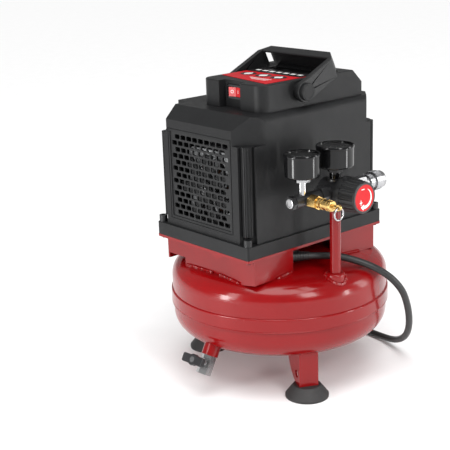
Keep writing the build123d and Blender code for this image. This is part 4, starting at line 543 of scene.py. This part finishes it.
RISER_X = joint_at["knob_turn"].x
AIR_Y = joint_at["tank_needle_sweep"].y
AIR_Z = joint_at["knob_turn"].z
RIPPLE = 1.3 * MM  # from one ripple of a bead to the next
COLLAR_RADIUS = 10.5 * MM
COLLAR_STAND = 0.6 * MM
COLLAR_BEAD, SIDE_BEAD, END_BEAD, SEAM_BEAD = 1.9 * MM, 1.8 * MM, 1.7 * MM, 1.15 * MM
COLLAR_LIFT, BRACKET_LIFT = 0.2 * MM, 0.3 * MM
SIDE_STRETCHES_LEFT = mm((-48.0, -14.0), (-4.0, 44.0))
SIDE_STRETCHES_RIGHT = mm((-48.0, -14.0), (6.0, 44.0))
END_STRETCHES = mm((-72.0, -47.0), (31.0, 62.0))
SIDE_STAND = 0.5 * MM
END_STAND = 0.6 * MM
SEAM_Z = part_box("tank_seam_weld")[1].z
SEAM_RADIUS = 126.1 * MM
SEAM_DROP = 1.1 * MM
SEAM_STEPS = 560
SEAM_RIPPLE = 0.12

dome = surface_tree("tank_upper_shell")
ABOVE_DOME = 0.2  # where the rays that find its surface start


def on_dome(x, y, lift):
    """The point of the tank's top below a place in plan."""
    hit = dome.ray_cast(Vector((x, y, ABOVE_DOME)), -UP)[0]
    return hit + UP * lift


def straight_bead(form, start, end, radius):
    """A bead on the tank's top that is straight in plan."""
    (x0, y0), (x1, y1) = start, end
    count = int(dist(start, end) / RIPPLE)
    places = [(x0 + (x1 - x0) * i / count, y0 + (y1 - y0) * i / count) for i in range(count + 1)]
    bead(form, [on_dome(x, y, BRACKET_LIFT) for x, y in places], radius)


def weld_beads():
    """Beads round the riser's collar and along the lower edges of the two brackets."""
    form = bmesh.new()
    steps = int(tau * COLLAR_RADIUS / RIPPLE / 2) * 2
    reach = COLLAR_RADIUS + COLLAR_STAND
    around = [(RISER_X + reach * cos(t), AIR_Y + reach * sin(t)) for t in full_turn(steps)]
    bead(form, [on_dome(x, y, COLLAR_LIFT) for x, y in around], COLLAR_BEAD, closed=True)
    left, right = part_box("bracket_left"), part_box("bracket_right")
    left_x, right_x = left[0].x - SIDE_STAND, right[1].x + SIDE_STAND
    for x, stretches in ((left_x, SIDE_STRETCHES_LEFT), (right_x, SIDE_STRETCHES_RIGHT)):
        for y0, y1 in stretches:
            straight_bead(form, (x, y0), (x, y1), SIDE_BEAD)
    front_y, back_y = left[0].y - END_STAND, left[1].y + END_STAND
    for x0, x1 in END_STRETCHES:
        for y in (front_y, back_y):
            straight_bead(form, (x0, y), (x1, y), END_BEAD)
    finished("weld_beads", form, "red_paint")


def seam_ripples():
    """The ripples of the weld round the tank, under the lap of its upper shell."""
    form = bmesh.new()
    z = SEAM_Z - SEAM_DROP
    seam = [Vector((SEAM_RADIUS * cos(t), SEAM_RADIUS * sin(t), z)) for t in full_turn(SEAM_STEPS)]
    bead(form, seam, SEAM_BEAD, SEAM_RIPPLE, closed=True)
    finished("seam_ripples", form, "red_paint")


weld_beads()
seam_ripples()

# ---- gauges --------------------------------------------------------------------------------------

# each gauge: the radius and the height of its case
GAUGES = {"tank": (18.7 * MM, 24.5 * MM), "outlet": (20.0 * MM, 23.5 * MM)}
DIAL_DROP = 8 * MM
DIAL_START = radians(225)
DIAL_SWEEP = radians(270)
DIAL_STEPS = 10
DIAL_PARTS = 5
RED_FROM = 8
DIAL_STEP_PRESSURE = 20
LONG_MARK = (2.6 * MM, 0.45 * MM)
SHORT_MARK = (1.4 * MM, 0.22 * MM)
MARK_MARGIN = 2.4 * MM
FIGURE_MARGIN = 7.4 * MM
FIGURE_SIZE = 3.1 * MM
MARK = 0.15 * MM
SKIRT_PROFILE = mm((7.0, 0.1), (13.0, 0.1), (12.4, -0.9), (8.6, -2.6), (7.0, -2.6))
# measured from the case's outside and its top
BEZEL_PROFILE = mm((0.25, -3.2), (0.45, -2.9), (0.45, -0.9), (-0.2, 0.25), (-1.3, 0.25), (-1.3, -0.8),
                   (-0.5, -3.2))
THREAD_PITCH = 0.72 * MM
THREAD_TURNS = 6
THREAD_START = 1.0 * MM
THREAD_PROFILE = mm((5.4, 0), (6.1, 0.36), (5.4, 0.72))
THREAD_SIDES, BEZEL_SIDES = 32, 72


def dial_print(name, face, radius):
    """A dial's scale, its red stretch and its figures."""
    ink = bmesh.new()
    red_ink = bmesh.new()
    for part in range(DIAL_STEPS * DIAL_PARTS + 1):
        at = turned(face, DIAL_START - DIAL_SWEEP * part / (DIAL_STEPS * DIAL_PARTS))
        length, width = SHORT_MARK if part % DIAL_PARTS else LONG_MARK
        middle = (radius - MARK_MARGIN - length / 2, 0)
        bar(red_ink if part > RED_FROM * DIAL_PARTS else ink, at, middle, (length, width), 0, MARK)
    finished(f"{name}_dial_marks", ink, "print_white")
    finished(f"{name}_dial_red_marks", red_ink, "red_plastic")
    for step in range(0, DIAL_STEPS + 1, 2):
        angle = DIAL_START - DIAL_SWEEP * step / DIAL_STEPS
        spot = Vector((cos(angle), sin(angle), 0)) * (radius - FIGURE_MARGIN)
        figure = str(step * DIAL_STEP_PRESSURE)
        lettering(f"{name}_dial_{step}", figure, placed(face @ spot, UP), FIGURE_SIZE, MARK / 2,
                  "print_white")


def gauge(name, radius, height):
    """What a gauge shows beyond its CAD pieces: its printed dial, the skirt under it and its bezel."""
    x = joint_at[f"{name}_needle_sweep"].x
    base_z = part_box(f"{name}_gauge_stem")[1].z
    top_z = base_z + height
    dial_print(name, placed((x, AIR_Y, top_z - DIAL_DROP), UP), radius)
    skirt = bmesh.new()
    lathe(skirt, placed((x, AIR_Y, base_z), UP), SKIRT_PROFILE, closed=True)
    finished(f"{name}_gauge_skirt", skirt, "chrome")
    bezel = bmesh.new()
    profile = [(radius + out, up) for out, up in BEZEL_PROFILE]
    lathe(bezel, placed((x, AIR_Y, top_z), UP), profile, BEZEL_SIDES, closed=True)
    finished(f"{name}_gauge_bezel", bezel, "gauge_black")


def outlet_post_thread():
    """Thread rings on the post between the regulator and the outlet gauge."""
    form = bmesh.new()
    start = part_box("regulator_body")[1].z + THREAD_START
    for turn in range(THREAD_TURNS):
        at = placed((RISER_X, AIR_Y, start + turn * THREAD_PITCH), UP)
        lathe(form, at, THREAD_PROFILE, THREAD_SIDES)
    finished("outlet_post_thread", form, "gauge_black")


for name, (radius, height) in GAUGES.items():
    gauge(name, radius, height)
outlet_post_thread()

# ---- regulator knob ------------------------------------------------------------------------------

ARROW_RADIUS = 10.0 * MM
ARROW_START, ARROW_SWEEP = radians(62), radians(160)
ARROW_STEPS = 24
ARROW_THIN, ARROW_THICK = 0.3 * MM, 1.8 * MM
ARROW_HEAD = (3.4 * MM, 4.6 * MM)
# each bar: its middle and its size; a minus sign, and a plus sign whose upright is in two halves
KNOB_SIGNS = (
    mm((-2.6, 9.6), (4.4, 1.0)),
    mm((-5.6, -4.4), (4.2, 0.9)),
    mm((-5.6, -2.7), (0.9, 2.4)),
    mm((-5.6, -6.1), (0.9, 2.4)),
)


def knob_marks():
    """A curved arrow that widens to its head, with a minus and a plus sign, on the knob's red disc."""
    form = bmesh.new()
    face = placed((RISER_X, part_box("regulator_knob")[0].y, AIR_Z), FRONT)
    shares = [i / ARROW_STEPS for i in range(ARROW_STEPS + 1)]
    arc = [ARROW_START - ARROW_SWEEP * share for share in shares]
    halves = [ARROW_THIN + (ARROW_THICK - ARROW_THIN) * share for share in shares]
    outer = [polar(t, ARROW_RADIUS + half) for t, half in zip(arc, halves)]
    inner = [polar(t, ARROW_RADIUS - half) for t, half in zip(arc, halves)]
    plate(form, face, (outer + inner[::-1])[::-1], 0, MARK)
    side, length = ARROW_HEAD
    head = [(ARROW_RADIUS - side, 0), (ARROW_RADIUS, -length), (ARROW_RADIUS + side, 0)]
    plate(form, turned(face, arc[-1]), head, 0, MARK)
    for middle, size in KNOB_SIGNS:
        bar(form, face, middle, size, 0, MARK)
    finished("knob_marks", form, "print_white", "knob")


knob_marks()

# ---- coupler, manifold plug and safety valve -----------------------------------------------------

SLEEVE_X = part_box("coupler_sleeve")[0].x
SEAL_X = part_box("coupler_body")[0].x + 12.1 * MM
SLEEVE_KNURLS = dict(
    x=SLEEVE_X + 0.4 * MM, radius=8.9 * MM, count=44, lows=(0.2 * MM, 2.8 * MM, 5.4 * MM),
    size=(0.7 * MM, 0.62 * MM), length=2.1 * MM,
)
COLLAR_KNURLS = dict(
    x=SLEEVE_X + 9.9 * MM, radius=10.7 * MM, count=60, lows=(0,), size=(0.5 * MM, 0.55 * MM),
    length=7.6 * MM,
)
SEAL_PROFILE = mm((7.4, 0), (8.3, 0.1), (8.3, 0.6), (7.4, 0.7))
PLUG_RING_PROFILE = mm((3.6, 0), (5.4, 0), (5.4, 0.8), (5.0, 1.1), (3.9, 1.1), (3.6, 0.8))
PLUG_SOCKET_PROFILE = mm((0, 0.35), (3.6, 0.35), (3.6, -0.1), (0, -0.1))
VALVE_BAND_REACH = (17.0 * MM, 13.5 * MM, 7.0 * MM, 3.5 * MM)
VALVE_BAND_PROFILE = mm((5.5, 0), (5.95, 0.25), (5.95, 0.95), (5.5, 1.2))


def knurls(name, x, radius, count, lows, size, length):
    """Rows of short ribs round the coupler's sleeve, which they ride."""
    form = bmesh.new()
    axis = placed((x, AIR_Y, AIR_Z), RIGHT, UP)
    for angle in full_turn(count):
        for low in lows:
            bar(form, turned(axis, angle) @ Matrix.Translation((radius, 0, low)), (0, 0), size, 0, length)
    finished(name, form, "chrome", "sleeve")


def coupler_seal_ring():
    """The dark ring between the coupler's nut and its sleeve."""
    form = bmesh.new()
    lathe(form, placed((SEAL_X, AIR_Y, AIR_Z), RIGHT, UP), SEAL_PROFILE, closed=True)
    finished("coupler_seal_ring", form, "gauge_black")


def end_plug():
    """A bright ring and a steel socket on the manifold's end plug."""
    face = placed((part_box("manifold_end_plug")[0].x, AIR_Y, AIR_Z), -RIGHT, UP)
    form = bmesh.new()
    lathe(form, face, PLUG_RING_PROFILE, closed=True)
    finished("end_plug_ring", form, "chrome")
    form = bmesh.new()
    lathe(form, face, PLUG_SOCKET_PROFILE)
    finished("end_plug_socket", form, "plated_steel")


def safety_valve_bands():
    """Turned bands on the safety valve."""
    form = bmesh.new()
    end_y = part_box("safety_valve_body")[0].y
    for reach in VALVE_BAND_REACH:
        at = placed((joint_at["ring_swing"].x, end_y + reach, AIR_Z), FRONT)
        lathe(form, at, VALVE_BAND_PROFILE, closed=True)
    finished("safety_valve_bands", form, "brass")


knurls("sleeve_knurls", **SLEEVE_KNURLS)
knurls("collar_knurls", **COLLAR_KNURLS)
coupler_seal_ring()
end_plug()
safety_valve_bands()

# ---- control pod ---------------------------------------------------------------------------------

# the dark panel's corners, seen from above
PANEL_OUTLINE = mm((-15.0, 30.4), (-15.0, -54.4), (7.4, -54.4), (7.4, 30.4))
OVER_PRINT = 0.28 * MM
# the other shapes, each by its middle and its size
SPOT_Y = (12.0, -12.0, -36.0)
SPOTS = [mm((-29.0, y), (17.0, 20.0)) for y in SPOT_Y]
SPOT_CENTRES = [mm((-29.0, y), (10.0 - i, 9.0 + i)) for i, y in enumerate(SPOT_Y)]
SPOT_BARS = [mm((-29.0, y), (14.0, 1.2)) for y in SPOT_Y]
STRIPES = [mm((-44.5 - 3.4 * i, -24.0 - 2.0 * i), (1.1, 34.0 - 6.0 * i)) for i in range(3)]
DASHES = [mm((-4.0, 22.0 - 11.0 * i), (5.0, 6.5)) for i in range(7)]
ROCKER_AXIS = joint_at["rocker_tilt"]
ROCKER_TURN = radians(188.0)
ROCKER_HALF = radians(43.0)
ROCKER_END, ROCKER_DIP = 12 * MM, 7 * MM
ROCKER_FIGURE = 5.0 * MM


def label_prints():
    """Plain shapes on the pod's label: a dark panel and three dark spots, with light shapes over them."""
    face = placed((0, 0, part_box("pod_label")[1].z), UP)
    form = bmesh.new()
    plate(form, face, PANEL_OUTLINE, 0, MARK)
    for spot in SPOTS:
        disc(form, face, *spot, 0, MARK)
    finished("label_dark_print", form, "label_dark")
    form = bmesh.new()
    for centre, crossbar in zip(SPOT_CENTRES, SPOT_BARS):
        disc(form, face, *centre, MARK, 2 * MARK)
        bar(form, face, *crossbar, MARK, OVER_PRINT)
    for stripe in STRIPES:
        bar(form, face, *stripe, 0, MARK)
    for dash in DASHES:
        bar(form, face, *dash, MARK, OVER_PRINT)
    finished("label_light_print", form, "print_white")


def rocker_marks():
    """A figure on each half of the rocker, which falls from its end to the dip in the middle."""
    for half, name, words in ((1, "rocker_off_mark", "O"), (-1, "rocker_on_mark", "I")):
        end = Vector((*polar(ROCKER_TURN - half * ROCKER_HALF, ROCKER_END), 0))
        dip = Vector((*polar(ROCKER_TURN, ROCKER_DIP), 0))
        slope = (end - dip).normalized()
        out = Vector((-slope.y, slope.x, 0))
        out = out if out.x < 0 else -out
        at = placed(ROCKER_AXIS + (end + dip) / 2, out, FRONT)
        lettering(name, words, at, ROCKER_FIGURE, MARK, "print_white", "rocker")


label_prints()
rocker_marks()

# ---- carry handle --------------------------------------------------------------------------------

PIVOT = joint_at["handle_lift"]
HANDLE_TILT = radians(25.0)
GRIP_RIBS = 22
GRIP_START_Y, GRIP_LENGTH = -50.0 * MM, 73.0 * MM
GRIP_REACH = 51.8 * MM
RIB_SIZE = (8.4 * MM, 1.5 * MM)
RIB_LOW, RIB_HIGH = -8.6 * MM, -7.9 * MM
CAP_PROFILE = mm((6.4, 0), (7.0, 0.25), (7.6, 0.25), (8.2, 0))


def grip_ribs():
    """Ribs inside the handle's crossbar, on its lower flange."""
    form = bmesh.new()
    way = Vector((cos(HANDLE_TILT), 0, sin(HANDLE_TILT)))
    up = Vector((-sin(HANDLE_TILT), 0, cos(HANDLE_TILT)))
    at = frame_matrix(way, up.cross(way), up, PIVOT)
    for i in range(GRIP_RIBS):
        y = GRIP_START_Y + GRIP_LENGTH * i / (GRIP_RIBS - 1)
        bar(form, at, (GRIP_REACH, y), RIB_SIZE, RIB_LOW, RIB_HIGH)
    finished("grip_ribs", form, "handle_plastic", "handle")


def pivot_cap_rings():
    """A raised ring on each pivot cap."""
    form = bmesh.new()
    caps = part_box("handle_pivot_caps")
    for y, way in ((caps[0].y, FRONT), (caps[1].y, -FRONT)):
        lathe(form, placed((PIVOT.x, y, PIVOT.z), way), CAP_PROFILE)
    finished("pivot_cap_rings", form, "black_housing")


grip_ribs()
pivot_cap_rings()

# ---- strain relief -------------------------------------------------------------------------------

RELIEF_BACK = 4 * MM
RELIEF_SIDES = 28
# in millimetres: the sleeve's flange, its ribs and its open end
RELIEF_FLANGE = 6.2
RELIEF_RIBS = 7
RELIEF_START, RELIEF_PITCH = 2.0, 3.0
RIB_RADIUS, RIB_TAPER = 6.1, 0.22
RIB_LENGTH = 1.7
GROOVE_DEPTH = 1.0
GROOVE_SPAN = (1.9, 2.8)
RELIEF_MOUTH = 4.15
RELIEF_LENGTH = 23.5


def make_strain_relief():
    """A tapered, ribbed sleeve where the cord comes out of its gland."""
    profile = [(0, 0), (RELIEF_FLANGE, 0)]
    for i in range(RELIEF_RIBS):
        start, wide = RELIEF_START + RELIEF_PITCH * i, RIB_RADIUS - RIB_TAPER * i
        profile += [(wide, start), (wide, start + RIB_LENGTH)]
        profile += [(wide - GROOVE_DEPTH, start + along) for along in GROOVE_SPAN]
    profile += [(RELIEF_MOUTH, RELIEF_LENGTH), (0, RELIEF_LENGTH)]
    form = bmesh.new()
    way = (Vector(CORD_ROUTE[1]) - Vector(CORD_ROUTE[0])).normalized()
    lathe(form, placed(Vector(CORD_ROUTE[0]) - way * RELIEF_BACK, way), mm(*profile), RELIEF_SIDES)
    return finished("strain_relief", form, "cord_rubber")


strain_relief = make_strain_relief()

# ---- floor and lights ----------------------------------------------------------------------------

FLOOR_HALF = 30.0
FLOOR_COLOUR = (0.92, 0.92, 0.92)
LIGHTS_FACE = Vector((0, 0, 0.2))
# each soft box: where it stands, its size and its power
SOFT_BOXES = {
    "key": ((-0.35, -1.7, 1.2), (0.5, 0.9), 13),
    "side": ((-1.9, 0.1, 0.7), (0.4, 1.2), 9),
    "right": ((1.5, -1.2, 0.6), (0.4, 1.1), 7),
    "left_strip": ((-0.80, 0.10, 0.17), (0.13, 0.30), 2.2),
    "right_strip": ((0.36, -0.78, 0.17), (0.08, 0.30), 1.2),
}
SUN_ANGLE = radians(50)
SUN_POWER = 2.4
SUN_TURN = (radians(14), radians(-12), 0)
WORLD_STRENGTH = 0.36


def make_floor():
    """A plain pale floor."""
    corners = [(x * FLOOR_HALF, y * FLOOR_HALF, 0) for x, y in ((-1, -1), (1, -1), (1, 1), (-1, 1))]
    mesh = bpy.data.meshes.new("floor")
    mesh.from_pydata(corners, [], [(0, 1, 2, 3)])
    piece = bpy.data.objects.new("floor", mesh)
    scene.collection.objects.link(piece)
    finishes["floor_card"] = finish_material("floor_card", FLOOR_COLOUR, 0.8, grain=0.02, mottle=0.01)
    paint(piece, "floor_card")


def soft_box(name, at, size, power):
    """A soft box that faces the object."""
    data = bpy.data.lights.new(name, "AREA")
    data.shape = "RECTANGLE"
    data.size, data.size_y = size
    data.energy = power
    lamp = bpy.data.objects.new(name, data)
    lamp.location = at
    lamp.rotation_mode = "QUATERNION"
    lamp.rotation_quaternion = (LIGHTS_FACE - Vector(at)).to_track_quat("-Z", "Y")
    scene.collection.objects.link(lamp)


def overhead_sun():
    """A wide, soft light from above."""
    data = bpy.data.lights.new("overhead", "SUN")
    data.angle = SUN_ANGLE
    data.energy = SUN_POWER
    lamp = bpy.data.objects.new("overhead", data)
    lamp.rotation_euler = SUN_TURN
    scene.collection.objects.link(lamp)


def white_world():
    """Even white light from all round."""
    world = bpy.data.worlds.new("studio")
    world.use_nodes = True
    background = world.node_tree.nodes["Background"]
    background.inputs["Color"].default_value = (1, 1, 1, 1)
    background.inputs["Strength"].default_value = WORLD_STRENGTH
    scene.world = world


make_floor()
for name, (at, size, power) in SOFT_BOXES.items():
    soft_box(name, at, size, power)
overhead_sun()
white_world()
scene.view_settings.view_transform = "Standard"
